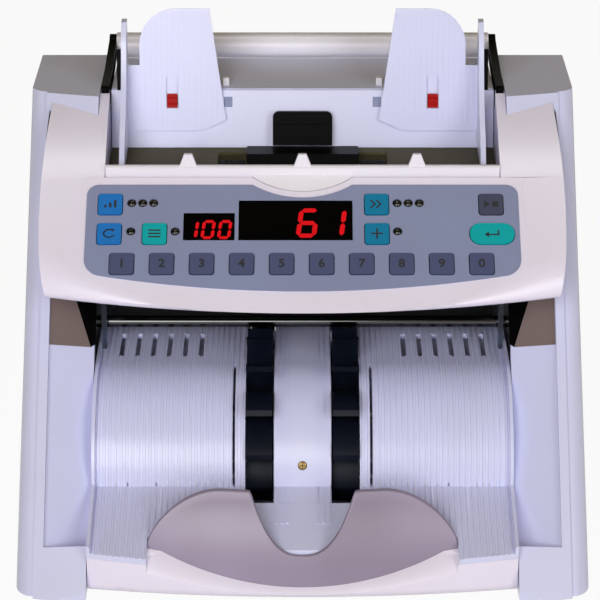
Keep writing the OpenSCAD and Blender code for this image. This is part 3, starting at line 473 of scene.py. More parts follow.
def stroke(points: Sequence[Point], width: float) -> list[list[Point]]:
    """Outlines of a bent line of some width, one for each straight run.

    Args:
        points: Corners of the line, in plane millimetres.
        width: Width of the line in millimetres.

    Returns:
        One four-sided outline for each run.
    """
    runs = []
    for (x0, y0), (x1, y1) in zip(points, points[1:]):
        length = math.hypot(x1 - x0, y1 - y0)
        dx, dy = (x1 - x0) / length * width / 2, (y1 - y0) / length * width / 2
        runs.append([(x0 - dx + dy, y0 - dy - dx), (x1 + dx + dy, y1 + dy - dx),
                     (x1 + dx - dy, y1 + dy + dx), (x0 - dx - dy, y0 - dy + dx)])
    return runs


@dataclass
class Dresser:
    """Gives CAD nodes their finish and smooth shading.

    Attributes:
        smooth_angle: Edges sharper than this many degrees stay sharp.
        merge: Distance below which points are one, in millimetres.
        group: Name of the shared shading tree.
    """

    smooth_angle: float = 32.0
    merge: float = 0.001
    group: ClassVar[str] = "smooth_by_angle"

    def shading(self) -> bpy.types.NodeTree:
        """Geometry tree that smooths every edge below the angle.

        Returns:
            The shared tree, made on first use.
        """
        found = bpy.data.node_groups.get(self.group)
        if found:
            return found
        tree = bpy.data.node_groups.new(self.group, "GeometryNodeTree")
        for way in ("INPUT", "OUTPUT"):
            tree.interface.new_socket("Geometry", in_out=way, socket_type="NodeSocketGeometry")
        entry = add_node(tree, "NodeGroupInput")
        merged = add_node(tree, "GeometryNodeMergeByDistance", {"Distance": self.merge * MM},
                          {"Geometry": entry.outputs["Geometry"]})
        angle = add_node(tree, "GeometryNodeInputMeshEdgeAngle")
        soft = add_node(tree, "FunctionNodeCompare",
                        {"operation": "LESS_THAN", "B": math.radians(self.smooth_angle)},
                        {"A": angle.outputs["Unsigned Angle"]})
        faces = add_node(tree, "GeometryNodeSetShadeSmooth", {"domain": "FACE"},
                         {"Geometry": merged.outputs["Geometry"]})
        edges = add_node(tree, "GeometryNodeSetShadeSmooth", {"domain": "EDGE"},
                         {"Geometry": faces.outputs["Geometry"], "Shade Smooth": soft.outputs["Result"]})
        add_node(tree, "NodeGroupOutput", links={"Geometry": edges.outputs["Geometry"]})
        return tree

    def dress(self, node: str, finish: Finish) -> None:
        """Gives one CAD node its finish and shading.

        Args:
            node: Name of the CAD node.
            finish: Finish to show.
        """
        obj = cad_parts[node]
        material = finish.build()
        if not obj.material_slots:
            obj.data.materials.append(material)
        for holder in obj.material_slots:
            holder.link = "OBJECT"
            holder.material = material
        self.smooth(obj)
        log.info("node %s in %s", node, finish.name)

    def smooth(self, obj: bpy.types.Object) -> None:
        """Adds the smooth shading to an object."""
        smooth = obj.modifiers.new(self.group, "NODES")
        smooth.node_group = self.shading()


@dataclass
class Block:
    """A small moulded block with rounded edges.

    Attributes:
        name: Name of the piece.
        plane: Plane that it is measured from.
        low: Lowest corner, along, up and out of the plane, in millimetres.
        high: Highest corner, in the same order.
        rounding: Radius of its edges in millimetres.
        segments: Steps of each rounded edge.
    """

    name: str
    plane: Plane
    low: Vector
    high: Vector
    rounding: float = 0.3
    segments: int = 3

    def build(self, finish: Finish, body: str, slot: str) -> None:
        """Adds the block.

        Args:
            finish: Finish of the block.
            body: CAD body that carries it.
            slot: Material slot of the record; not used.
        """
        middle, size = (self.low + self.high) / 2, self.high - self.low
        shape = bmesh.new()
        bmesh.ops.create_cube(shape, size=1.0)
        for vert in shape.verts:
            vert.co = middle + vert.co * size
        bmesh.ops.bevel(shape, geom=shape.edges[:], offset=self.rounding, segments=self.segments,
                        profile=0.5, affect="EDGES")
        shape.verts.index_update()
        verts = [self.plane.point(*vert.co) for vert in shape.verts]
        faces = [[vert.index for vert in face.verts] for face in shape.faces]
        shape.free()
        mesh_piece(self.name, verts, faces, finish, body)


def bridge(rings: Sequence[Sequence[Vector]]) -> list[list[int]]:
    """Faces of a closed solid through a row of equal rings.

    Args:
        rings: Rings of points, all of one length.

    Returns:
        Point numbers of each face, with the points counted ring by ring.
    """
    count = len(rings[0])
    faces = [list(range(count))[::-1], [(len(rings) - 1) * count + i for i in range(count)]]
    for start in range(0, (len(rings) - 1) * count, count):
        for i in range(count):
            j = (i + 1) % count
            faces.append([start + i, start + j, start + count + j, start + count + i])
    return faces


@dataclass
class Sweep:
    """A modelled solid through a row of rings.

    Attributes:
        name: Name of the piece.
        rings: Rings of row points, in millimetres.
    """

    name: str
    rings: list[list[Vector]]

    def __post_init__(self) -> None:
        """Turns the rings round where the solid would be inside out."""
        first, last = self.rings[0], self.rings[-1]
        along = sum(last, Vector()) / len(last) - sum(first, Vector()) / len(first)
        normal = sum((a.cross(b) for a, b in zip(first, first[1:] + first[:1])), Vector())
        if normal.dot(along) < 0:
            self.rings = [ring_points[::-1] for ring_points in self.rings]

    @property
    def points(self) -> list[Vector]:
        """All points in metres, ring by ring."""
        return [point * MM for ring_points in self.rings for point in ring_points]

    def build(self, dresser: Dresser, finish: Finish, slot: str) -> bpy.types.Object:
        """Adds the solid to the casing, with smooth shading.

        Args:
            dresser: Gives the piece its shading.
            finish: Finish of the piece.
            slot: Material slot of the record; not used.

        Returns:
            The new piece.
        """
        piece = mesh_piece(self.name, self.points, bridge(self.rings), finish, CASING)
        dresser.smooth(piece)
        return piece

    def tool(self) -> bpy.types.Object:
        """Adds the solid as a plain object to cut with, which goes again after the cut."""
        return add_mesh(self.name, self.points, bridge(self.rings))


@dataclass
class CarvedShell:
    """A copy of a CAD node with rounded edges cut into it, which stands for the node.

    Attributes:
        name: Name of the piece.
        node: CAD node to copy.
        cuts: Solids to cut away.
    """

    name: str
    node: str
    cuts: list[Sweep]

    def build(self, dresser: Dresser, finish: Finish, slot: str) -> None:
        """Adds the carved copy to the casing.

        Args:
            dresser: Gives the piece its shading.
            finish: Finish of the piece.
            slot: Material slot of the record; not used.
        """
        shape = bmesh.new()
        shape.from_mesh(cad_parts[self.node].data)
        bmesh.ops.remove_doubles(shape, verts=shape.verts[:], dist=dresser.merge * MM)
        mesh = bpy.data.meshes.new(self.name)
        shape.to_mesh(mesh)
        shape.free()
        piece = add_object(self.name, mesh)
        tools = [cut.tool() for cut in self.cuts]
        for tool in tools:
            cut = piece.modifiers.new(tool.name, "BOOLEAN")
            cut.operation = "DIFFERENCE"
            cut.solver = "EXACT"
            cut.object = tool
        depsgraph = bpy.context.evaluated_depsgraph_get()
        carved = bpy.data.meshes.new_from_object(piece.evaluated_get(depsgraph))
        piece.modifiers.clear()
        for tool in tools:
            bpy.data.objects.remove(tool)
        carved.materials.clear()
        carved.materials.append(finish.build())
        piece.data = carved
        dresser.smooth(piece)
        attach(piece, CASING)
        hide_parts(self.node)
        log.info("piece %s for %s, %d faces", self.name, self.node, len(carved.polygons))


def bent(start: Point, corner: Point, end: Point, steps: int) -> list[Point]:
    """Points of a smooth bend that leaves towards a corner and ends away from it.

    Args:
        start: First point.
        corner: Corner that the bend rounds off.
        end: Last point.
        steps: Number of straight runs.

    Returns:
        The points, ends included.
    """
    points = []
    for t in spread(0.0, 1.0, steps):
        points.append(tuple((1 - t) ** 2 * a + 2 * t * (1 - t) * c + t * t * b
                            for a, c, b in zip(start, corner, end)))
    return points


@dataclass
class Screw:
    """A pan-head screw with a cross recess.

    Attributes:
        name: Name of the piece.
        plane: Plane that the head stands on, with its origin at the screw.
        radius: Radius of the head in millimetres.
        height: Height of the head in millimetres.
        finish: Finish of the head.
        slot: Material slot of the record; not used.
        sides: Number of sides of the round head.
        recess: Reach of the dark cross of painted shadow that stands for the recess, as a share of the
            radius, and its width in millimetres.
        shadow_lift: Height of the dark cross of painted shadow above the head, in millimetres.
        profile: Radius and height up the head, as shares of the whole.
    """

    name: str
    plane: Plane
    radius: float = 2.2
    height: float = 0.9
    finish: Finish = Finishes.SCREW
    slot: str = "shaft_steel"
    sides: int = 24
    recess: Point = (0.55, 0.4)
    shadow_lift: float = 0.02
    profile: ClassVar[tuple[Point, ...]] = ((1.0, 0.0), (1.0, 0.45), (0.86, 0.82), (0.6, 1.0))

    def build(self, body: str) -> None:
        """Adds the head and a dark cross of painted shadow for its recess.

        Args:
            body: CAD body that the screw holds.
        """
        count = self.sides
        verts, faces = [], []
        for share, lift in self.profile:
            for x, y in ring(self.radius * share, count):
                verts.append(self.plane.point(x, y, self.height * lift))
        for level in range(len(self.profile) - 1):
            for i in range(count):
                a, b = level * count + i, level * count + (i + 1) % count
                faces.append([a, b, b + count, a + count])
        faces.append(list(range((len(self.profile) - 1) * count, len(self.profile) * count)))
        mesh_piece(self.name, verts, faces, self.finish, body)
        reach, width = self.recess
        arm = self.radius * reach
        cross = stroke([(-arm, 0), (arm, 0)], width) + stroke([(0, -arm), (0, arm)], width)
        # The dark cross is painted shadow for the cross recess
        print_shapes(f"{self.name}_recess", cross, self.plane, self.height + self.shadow_lift, Finishes.INK_AND_SHADOW,
                     body)


@dataclass
class SevenSegment:
    """A row of slanted seven-segment digits.

    Attributes:
        text: Digits to show.
        height: Height of a digit in millimetres.
        width: Width of a digit in millimetres.
        pitch: Distance between digits in millimetres.
        bar: Width of a segment in millimetres.
        slant: Sideways shift for each unit of height.
        gap: Gap at each end of a segment in millimetres.
        lit: Letters of the segments that each digit lights.
    """

    text: str
    height: float
    width: float
    pitch: float
    bar: float
    slant: float = 0.12
    gap: float = 0.12
    lit: ClassVar[dict[str, str]] = {
        "0": "abcdef", "1": "bc", "2": "abged", "3": "abgcd", "4": "fgbc",
        "5": "afgcd", "6": "afgedc", "7": "abc", "8": "abcdefg", "9": "abcdfg",
    }

    def segment(self, letter: str) -> list[Point]:
        """Six-sided outline of one segment of an upright digit.

        Args:
            letter: Segment's usual letter, from a to g.

        Returns:
            Outline in millimetres from the digit's middle.
        """
        w, h, t = self.width / 2, self.height / 2, self.bar / 2
        ends = {"a": ((-w, h), (w, h)), "b": ((w, h), (w, 0)), "c": ((w, 0), (w, -h)),
                "d": ((-w, -h), (w, -h)), "e": ((-w, -h), (-w, 0)), "f": ((-w, 0), (-w, h)),
                "g": ((-w, 0), (w, 0))}
        (x0, y0), (x1, y1) = ends[letter]
        length = math.hypot(x1 - x0, y1 - y0)
        dx, dy = (x1 - x0) / length, (y1 - y0) / length
        near, far = self.gap, length - self.gap
        corners = [(near, 0), (near + t, t), (far - t, t), (far, 0), (far - t, -t), (near + t, -t)]
        return [(x0 + a * dx - b * dy, y0 + a * dy + b * dx) for a, b in corners]

    def outlines(self, x: float, y: float) -> list[list[Point]]:
        """Outlines of the lit segments, with the last digit at a place.

        Args:
            x: Middle of the last digit, in plane millimetres.
            y: Middle of the row, in plane millimetres.

        Returns:
            One outline for each lit segment.
        """
        shapes = []
        for place, digit in enumerate(reversed(self.text)):
            for letter in self.lit[digit]:
                shapes.append([(x - place * self.pitch + px + self.slant * py, y + py)
                               for px, py in self.segment(letter)])
        return shapes


@dataclass
class SubAssembly:
    """Pieces of the counter that come apart together.

    Attributes:
        dresser: Gives the CAD nodes their finish and shading.
        finishes: Finish of each CAD node.
    """

    finishes: ClassVar[dict[str, Finish]] = {}
    dresser: Dresser

    def build(self) -> None:
        """Dresses the CAD nodes."""
        for node, finish in self.finishes.items():
            self.dresser.dress(node, finish)


@dataclass(frozen=True)
class ColumnFront:
    """Leaning, bowed front of the side covers.

    Attributes:
        toe_y: Setback of the lean's foot, in row millimetres.
        toe_z: Height of the lean's foot in millimetres.
        lean: Lean from the vertical in degrees.
        bow: Radius of the bow in plan, in millimetres.
        sag: How far the bow stands forward in the middle, in millimetres.
    """

    toe_y: float = -111.0
    toe_z: float = 18.0
    lean: float = 38.81
    bow: float = 680.0
    sag: float = 13.9

    def setback(self, inward: float, z: float) -> float:
        """Setback of a point at a depth and a height, in row millimetres.

        Args:
            inward: Depth square to the lean, in millimetres.
            z: Height in millimetres.

        Returns:
            The setback.
        """
        turn = math.radians(self.lean)
        along = (z - self.toe_z + inward * math.sin(turn)) / math.cos(turn)
        return self.toe_y + inward * math.cos(turn) + along * math.sin(turn)

    def face(self, x: float, z: float) -> float:
        """Setback of the bowed face at a sideways place and a height, in row millimetres."""
        return self.setback(fall_back(self.bow, x) - self.sag, z)


@dataclass
class Casing(SubAssembly):
    """Covers, feet, rear sockets and the sheets of painted shadow at the tops of the cheeks.

    Attributes:
        front: Front of the side covers.
        dish: Outer and inner end of a dished cheek, in millimetres from the middle.
        dish_deep: Depth of the dish at its inner end, in millimetres.
        plate: Corners of the grey-brown sheet of painted shadow, sideways and up, in millimetres.
        mouth_shadow: Corners of the black sheet of painted shadow beside it, for the dark opening of the
            pocket, sideways and up, in millimetres.
        plate_thick: How far the plates stand out of the cheek and reach into it, in millimetres.
    """

    finishes: ClassVar[dict[str, Finish]] = {
        "left_side_cover": Finishes.CASING, "right_side_cover": Finishes.CASING,
        "rear_cover": Finishes.CASING, "top_cover": Finishes.CASING, "rubber_feet": Finishes.RUBBER_AND_SHADOW,
        "power_inlet": Finishes.BLACK_AND_SHADOW, "power_switch": Finishes.BLACK_AND_SHADOW,
    }
    front: ColumnFront = ColumnFront()
    dish: Point = (124.0, 102.0)
    dish_deep: float = 13.0
    plate: tuple[Point, ...] = ((123.8, 102.4), (104.6, 96.4), (117.0, 131.0), (123.8, 131.0))
    mouth_shadow: tuple[Point, ...] = ((104.6, 96.4), (102.3, 97.0), (102.3, 131.0), (117.0, 131.0))
    plate_thick: float = 0.5

    def build(self) -> None:
        """Dresses the casing and adds the sheets of painted shadow in the cheeks."""
        super().build()
        for side in Side:
            # Painted shadow: a grey-brown sheet for the shade under the console, and a black sheet for the
            # dark opening beside it
            self.add_plate(side, "cheek_painted_shadow", self.plate, Finishes.CHEEK_SHADOW, "frame_steel")
            self.add_plate(side, "mouth_painted_shadow", self.mouth_shadow, Finishes.BLACK_AND_SHADOW, "black_plastic")

    def add_plate(self, side: Side, name: str, outline: Sequence[Point], finish: Finish, slot: str) -> None:
        """Adds a thin sheet of painted shadow that lies in the top of one cheek, under the console.

        Args:
            side: Side of the casing.
            name: Name of the plate.
            outline: Its corners, sideways and up, in millimetres.
            finish: Finish of the plate.
            slot: Material slot of the record; passed on but not used.
        """
        rings = []
        for out in (-self.plate_thick, self.plate_thick):
            ring_points = []
            for x, z in outline:
                deep = self.dish_deep * (self.dish[0] - x) / (self.dish[0] - self.dish[1])
                ring_points.append(Vector((side.value * x, self.front.setback(deep, z) - out, z)))
            rings.append(ring_points)
        Sweep(f"{side.name.lower()}_{name}", rings).build(self.dresser, finish, slot)


@dataclass(frozen=True)
class KeyMarks:
    """Plain icons of the function keys, in millimetres from the middle of a key.

    Attributes:
        line: Width of a plain line.
        fine: Width of the round arrow's line.
        bold: Width of the plus sign's lines.
        orbit: Half width and half height of the round arrow.
        gap: Turns of the round arrow's ends and of its steps, in degrees.
    """

    line: float = 0.8
    fine: float = 0.7
    bold: float = 0.9
    orbit: Point = (2.6, 2.2)
    gap: tuple[int, int, int] = (60, 360, 30)

    def icons(self) -> dict[str, list[list[Point]]]:
        """Draws the icons.

        Returns:
            Outlines of the icon on each key.
        """
        wide, high = self.orbit
        turns = (math.radians(angle) for angle in range(*self.gap))
        orbit = [(wide * math.cos(turn), high * math.sin(turn)) for turn in turns]
        return {
            "key_level": [[(x - 0.6, -2.0), (x + 0.6, -2.0), (x + 0.6, top), (x - 0.6, top)]
                          for x, top in ((-2.4, -0.6), (0.0, 0.8), (2.4, 2.2))],
            "key_auto": stroke(orbit, self.fine) + [[(1.0, 2.6), (2.9, 2.2), (1.6, 0.7)]],
            "key_batch": [outline for y in (-1.8, 0.0, 1.8)
                          for outline in stroke([(-2.6, y), (2.6, y)], self.line)],
            "key_speed": [outline for x in (-2.7, 0.1)
                          for outline in stroke([(x, -2.0), (x + 1.8, 0.0), (x, 2.0)], self.line)],
            "key_add": stroke([(-2.4, 0), (2.4, 0)], self.bold) + stroke([(0, -2.4), (0, 2.4)], self.bold),
            "key_start_stop": [[(-3.4, -2.0), (-0.4, 0.0), (-3.4, 2.0)],
                               [(0.6, -1.6), (3.6, -1.6), (3.6, 1.6), (0.6, 1.6)]],
            "key_reset": stroke([(3.0, 1.6), (3.0, -0.6), (-2.2, -0.6)], self.line)
            + [[(-1.6, 1.0), (-3.8, -0.6), (-1.6, -2.2)]],
        }


@dataclass
class Console(SubAssembly):
    """Sloping key console with its film, keys, lamps and displays.

    Attributes:
        slope: Slope of the panel in degrees.
        top_edge: Middle of the panel's top edge, in row millimetres.
        film: Thickness of the printed film in millimetres.
        rise: Height of a key above the film in millimetres.
        number_pitch: Distance between the number keys in millimetres.
        number_shift: Sideways shift of their row in millimetres.
        number_row: Place of their row up the panel, in millimetres.
        numeral_height: Height of a numeral in millimetres.
        numeral_weight: How far its outline is swollen, in millimetres.
        numeral_steps: Steps along each curve of its outline.
        cap_share: Height of a numeral as a share of the font's size.
        count: Digits of the large display.
        count_at: Middle of its last digit on the panel, in millimetres.
        batch: Digits of the small display.
        batch_at: Middle of its last digit on the panel, in millimetres.
        cowl_bend: Point where the cowls leave the slope, in row millimetres.
        cowl_slope: Slope of the cowls at that point, in degrees.
        cowl_r: Radius of the cowls' bend in millimetres.
        cowl_end: Setback where the bend is cut off, in row millimetres.
        cowl_steps: Steps along the bend.
        cowl_foot: Point on the slope close to the nose, in row millimetres.
        nose_y: Setback of the nose in the middle, in row millimetres.
        nose_r: Radius of the nose in plan, in millimetres.
        nose_low: Height of the nose's lower edge in millimetres.
        nose_from: Sideways place where the rolled nose starts, in millimetres.
        nose_lap: Length of the roll up the slope for each unit of its height.
        nose_skin: Gap that keeps the cut off faces in the same plane, in millimetres.
        nose_clear: Room that the cut takes ahead of the nose, in millimetres.
        nose_steps: Steps along the nose.
        bend_steps: Steps around the nose.
        clear_z: Height above everything on the console, in millimetres.
        half_width: Half of the width that the cuts cover, in millimetres.
        front: Front of the side covers, which the cowls meet.
        seam: Middle of the seam's arc on the right, sideways and up, in row millimetres.
        seam_r: Radius of the seam in millimetres.
        shadow_low: Height of the lower end of the seam's painted shadow, a dark rubber strip, in
            millimetres.
        shadow_high: Height of its upper end in millimetres.
        shadow_across: Near and far side of the strip, from the seam, in millimetres.
        shadow_deep: Depth of its face and of its back in the column, in millimetres.
        shadow_steps: Steps along the strip.
        number_keys: Numerals along their row.
        key_places: Place on the panel, finish and slot of each function key.
    """

    finishes: ClassVar[dict[str, Finish]] = {
        "key_overlay": Finishes.OVERLAY, "indicator_lamps": Finishes.LENS, "control_board": Finishes.BOARD,
        "count_display": Finishes.WINDOW, "batch_display": Finishes.WINDOW,
    }
    slope: float = 37.0
    top_edge: Vector = field(default_factory=lambda: Vector((0.0, -10.0, 177.0)))
    film: float = 0.6
    rise: float = 0.6
    number_pitch: float = 19.2
    number_shift: float = -0.4
    number_row: float = -49.2
    numeral_height: float = 4.4
    numeral_weight: float = 0.22
    numeral_steps: int = 4
    cap_share: float = 0.7
    count: SevenSegment = field(default_factory=lambda: SevenSegment("61", 14.2, 7.6, 13.3, 2.3))
    count_at: Point = (15.8, -26.3)
    batch: SevenSegment = field(default_factory=lambda: SevenSegment("100", 9.1, 4.8, 8.0, 1.6))
    batch_at: Point = (-37.6, -30.0)
    cowl_bend: Vector = field(default_factory=lambda: Vector((0.0, -13.0, 173.98)))
    cowl_slope: float = 36.47
    cowl_r: float = 250.0
    cowl_end: float = 45.0
    cowl_steps: int = 48
    cowl_foot: Vector = field(default_factory=lambda: Vector((0.0, -65.0, 135.55)))
    nose_y: float = -73.0
    nose_r: float = 415.0
    nose_low: float = 133.5
    nose_from: float = 72.0
    nose_lap: float = 1.6
    nose_skin: float = 0.02
    nose_clear: float = 3.0
    nose_steps: int = 40
    bend_steps: int = 10
    clear_z: float = 225.0
    half_width: float = 135.0
    front: ColumnFront = ColumnFront()
    seam: Vector = field(default_factory=lambda: Vector((-44.0, 0.0, 170.0)))
    seam_r: float = 172.0
    shadow_low: float = 133.0
    shadow_high: float = 196.5
    shadow_across: Point = (0.05, 0.85)
    shadow_deep: Point = (0.2, 1.2)
    shadow_steps: int = 32
    number_keys: ClassVar[str] = "1234567890"
    key_places: ClassVar[dict[str, tuple[float, float, Finish, str]]] = {
        "key_level": (-93.4, -15.9, Finishes.BLUE_KEY, "blue_key"),
        "key_auto": (-93.4, -32.5, Finishes.BLUE_KEY, "blue_key"),
        "key_batch": (-71.5, -32.5, Finishes.GREEN_KEY, "green_key"),
        "key_speed": (36.0, -15.9, Finishes.TEAL_KEY, "teal_key"),
        "key_add": (36.0, -32.5, Finishes.TEAL_KEY, "teal_key"),
        "key_start_stop": (91.6, -15.9, Finishes.START_KEY, "number_key"),
        "key_reset": (91.6, -32.5, Finishes.GREEN_KEY, "green_key"),
    }

    @property
    def panel(self) -> Plane:
        """Plane of the panel, with its origin at the top edge."""
        return Plane.rising(self.top_edge, self.slope)

    def build(self) -> None:
        """Dresses the console, rounds its shell and prints its marks."""
        super().build()
        cuts = [self.cowl_cut()] + [self.nose_cut(side) for side in Side]
        shell = CarvedShell("console_shell", "front_console", cuts)
        shell.build(self.dresser, Finishes.CONSOLE, "casing_plastic")
        # Dark strips in the seams beside the cowls are painted shadow
        for side in Side:
            self.add_seam_shadow(side)
        self.light_displays()
        self.print_numerals()
        self.print_marks()

    def cowl_cut(self) -> Sweep:
        """Space above the cowls, which bend back to the columns in one long round.

        Returns:
            The space, across both cowls.
        """
        turn = math.radians(self.cowl_slope)
        middle = self.cowl_bend + self.cowl_r * Vector((0.0, math.sin(turn), -math.cos(turn)))
        profile = [(y, middle.z + math.sqrt(self.cowl_r ** 2 - (y - middle.y) ** 2))
                   for y in spread(self.top_edge.y, self.cowl_end, self.cowl_steps)]
        profile += [(self.cowl_end, self.clear_z), (self.top_edge.y, self.clear_z)]
        rings = [[Vector((x, y, z)) for y, z in profile] for x in (-self.half_width, self.half_width)]
        return Sweep("cowl_cut", rings)

    def nose_cut(self, side: Side) -> Sweep:
        """Space ahead of the nose where its slope rolls over into the upright edge.

        Args:
            side: Side of the console.

        Returns:
            The space, from where the edge starts to its outer end.
        """
        rise = math.tan(math.radians(self.slope))
        rings = []
        for x in spread(self.nose_from, self.half_width, self.nose_steps):
            y = self.nose_y + fall_back(self.nose_r, x)
            z = self.cowl_foot.z + (y - self.cowl_foot.y) * rise + self.nose_skin
            reach = z - self.nose_low
            start = (y + self.nose_lap * reach, z + self.nose_lap * reach * rise)
            profile = bent(start, (y, z), (y - self.nose_skin, z - reach), self.bend_steps)
            profile += [(y - self.nose_clear, z - reach), (y - self.nose_clear, start[1] + self.nose_clear),
                        (start[0], start[1] + self.nose_clear)]
            rings.append([Vector((side.value * x, py, pz)) for py, pz in profile])
        return Sweep(f"{side.name.lower()}_nose_cut", rings)

    def add_seam_shadow(self, side: Side) -> None:
        """Lays a dark rubber strip into the groove between one cowl and its column, as painted shadow in
        the seam.

        Args:
            side: Side of the console.
        """
        near, far = self.shadow_across
        face, back = self.shadow_deep
        rings = []
        for z in spread(self.shadow_low, self.shadow_high, self.shadow_steps):
            ring_points = []
            for r, deep in ((near, back), (near, face), (far, face), (far, back)):
                x = self.seam.x + math.sqrt((self.seam_r + r) ** 2 - (z - self.seam.z) ** 2)
                ring_points.append(Vector((side.value * x, self.front.face(x, z) + deep, z)))
            rings.append(ring_points)
        name = f"{side.name.lower()}_cowl_seal"
        Sweep(name, rings).build(self.dresser, Finishes.RUBBER_AND_SHADOW, "foot_rubber")

    def light_displays(self) -> None:
        """Lights the digits of both displays."""
        for name, digits, place in (("count_digits", self.count, self.count_at),
                                    ("batch_digits", self.batch, self.batch_at)):
            print_shapes(name, digits.outlines(*place), self.panel, self.film + PRINT_LIFT,
                         Finishes.SEGMENT, CASING)

    def print_numerals(self) -> None:
        """Prints a plain numeral on each number key."""
        middle = (len(self.number_keys) - 1) / 2
        for i, digit in enumerate(self.number_keys):
            node = f"key_{digit}"
            self.dresser.dress(node, Finishes.NUMBER_KEY)
            x = (i - middle) * self.number_pitch + self.number_shift
            self.numeral(node, digit, x, self.number_row)

    def numeral(self, node: str, digit: str, x: float, y: float) -> None:
        """Prints one numeral on a key.

        Args:
            node: Key to print on; its body has the same name.
            digit: Numeral to print.
            x: Middle of the key along the panel, in millimetres.
            y: Middle of the key up the panel, in millimetres.
        """
        curve = bpy.data.curves.new(f"{node}_numeral", "FONT")
        curve.body = digit
        curve.align_x = "CENTER"
        curve.align_y = "CENTER"
        curve.size = self.numeral_height / self.cap_share * MM
        curve.offset = self.numeral_weight * MM
        curve.resolution_u = self.numeral_steps
        curve.materials.append(Finishes.INK_AND_SHADOW.build())
        piece = add_object(f"{node}_numeral", curve)
        spot = self.panel.point(x, y, self.film + self.rise + PRINT_LIFT)
        piece.matrix_world = Matrix.Translation(spot) @ Matrix.Rotation(math.radians(self.slope), 4, "X")
        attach(piece, node)
        log.info("piece %s on %s", piece.name, node)

    def print_marks(self) -> None:
        """Prints a plain icon on each function key."""
        icons = KeyMarks().icons()
        for node, (x, y, finish, slot) in self.key_places.items():
            self.dresser.dress(node, finish)
            shapes = [[(x + px, y + py) for px, py in outline] for outline in icons[node]]
            print_shapes(f"{node}_mark", shapes, self.panel, self.film + self.rise + PRINT_LIFT,
                         Finishes.INK_AND_SHADOW, node)


@dataclass(frozen=True)
class Trim:
    """A small block of trim, one on each side.

    Attributes:
        name: Name of the trim.
        along: Nearest and furthest reach from the middle, in millimetres.
        up: Lowest and highest reach up its plane, in millimetres.
        out: Depth of its back and of its face, in millimetres.
        finish: Finish of the trim.
        slot: Material slot of the record; passed on but not used.
    """

    name: str
    along: Point
    up: Point
    out: Point
    finish: Finish
    slot: str

    def build(self, side: Side, plane: Plane, body: str) -> None:
        """Adds the block on one side.

        Args:
            side: Side of the counter.
            plane: Plane that it is measured from.
            body: CAD body that carries it.
        """
        near, far = sorted(side.value * x for x in self.along)
        low, high = Vector((near, self.up[0], self.out[0])), Vector((far, self.up[1], self.out[1]))
        Block(f"{side.name.lower()}_{self.name}", plane, low, high).build(self.finish, body, self.slot)


@dataclass
class Hopper(SubAssembly):
    """Note hopper with its guides, locks, sensor and feed.

    Attributes:
        lean: Lean of the back plate from the vertical, in degrees.
        foot: Middle of the back plate's foot, in row millimetres.
        shelf_z: Height of the shelf in millimetres.
        window: Small window beside a guide.
        nub: Nub on the shelf beside a guide.
        strip: Rubbing strip on the outside of a guide.
    """

    # The hopper floor's finish holds painted shade: in its dark olive-brown, and as black on its chute
    # under the console
    finishes: ClassVar[dict[str, Finish]] = {
        "hopper_lip": Finishes.LIP, "hopper_floor": Finishes.FLOOR_AND_SHADE, "back_plate": Finishes.CASING,
        "note_sensor": Finishes.BLACK_AND_SHADOW, "separator_block": Finishes.BLACK_AND_SHADOW, "left_guide": Finishes.CASING,
        "right_guide": Finishes.CASING, "left_guide_lock": Finishes.LOCK, "right_guide_lock": Finishes.LOCK,
        "guide_rail": Finishes.SHAFT, "feed_shaft": Finishes.SHAFT, "feed_rollers": Finishes.RUBBER_AND_SHADOW,
    }
    lean: float = 14.0
    foot: Vector = field(default_factory=lambda: Vector((0.0, 37.4, 175.0)))
    shelf_z: float = 203.2
    window: Trim = Trim("sensor_window", (35.4, 39.7), (20.5, 25.8), (-0.8, 0.15),
                        Finishes.OVERLAY, "overlay_film")
    nub: Trim = Trim("shelf_nub", (37.3, 40.4), (52.0, 55.0), (-0.5, 3.8), Finishes.LIP, "lip_plastic")
    strip: Trim = Trim("guide_strip", (90.3, 93.4), (29.5, 50.0), (1.0, 4.0),
                       Finishes.BLACK_AND_SHADOW, "black_plastic")

    def build(self) -> None:
        """Dresses the hopper and adds its small trim."""
        super().build()
        back = Plane.rising(self.foot, 90.0 - self.lean)
        shelf = Plane.rising(Vector((0.0, 0.0, self.shelf_z)), 0.0)
        for side in Side:
            self.window.build(side, back, CASING)
            self.nub.build(side, shelf, CASING)
            self.strip.build(side, back, f"{side.name.lower()}_guide")


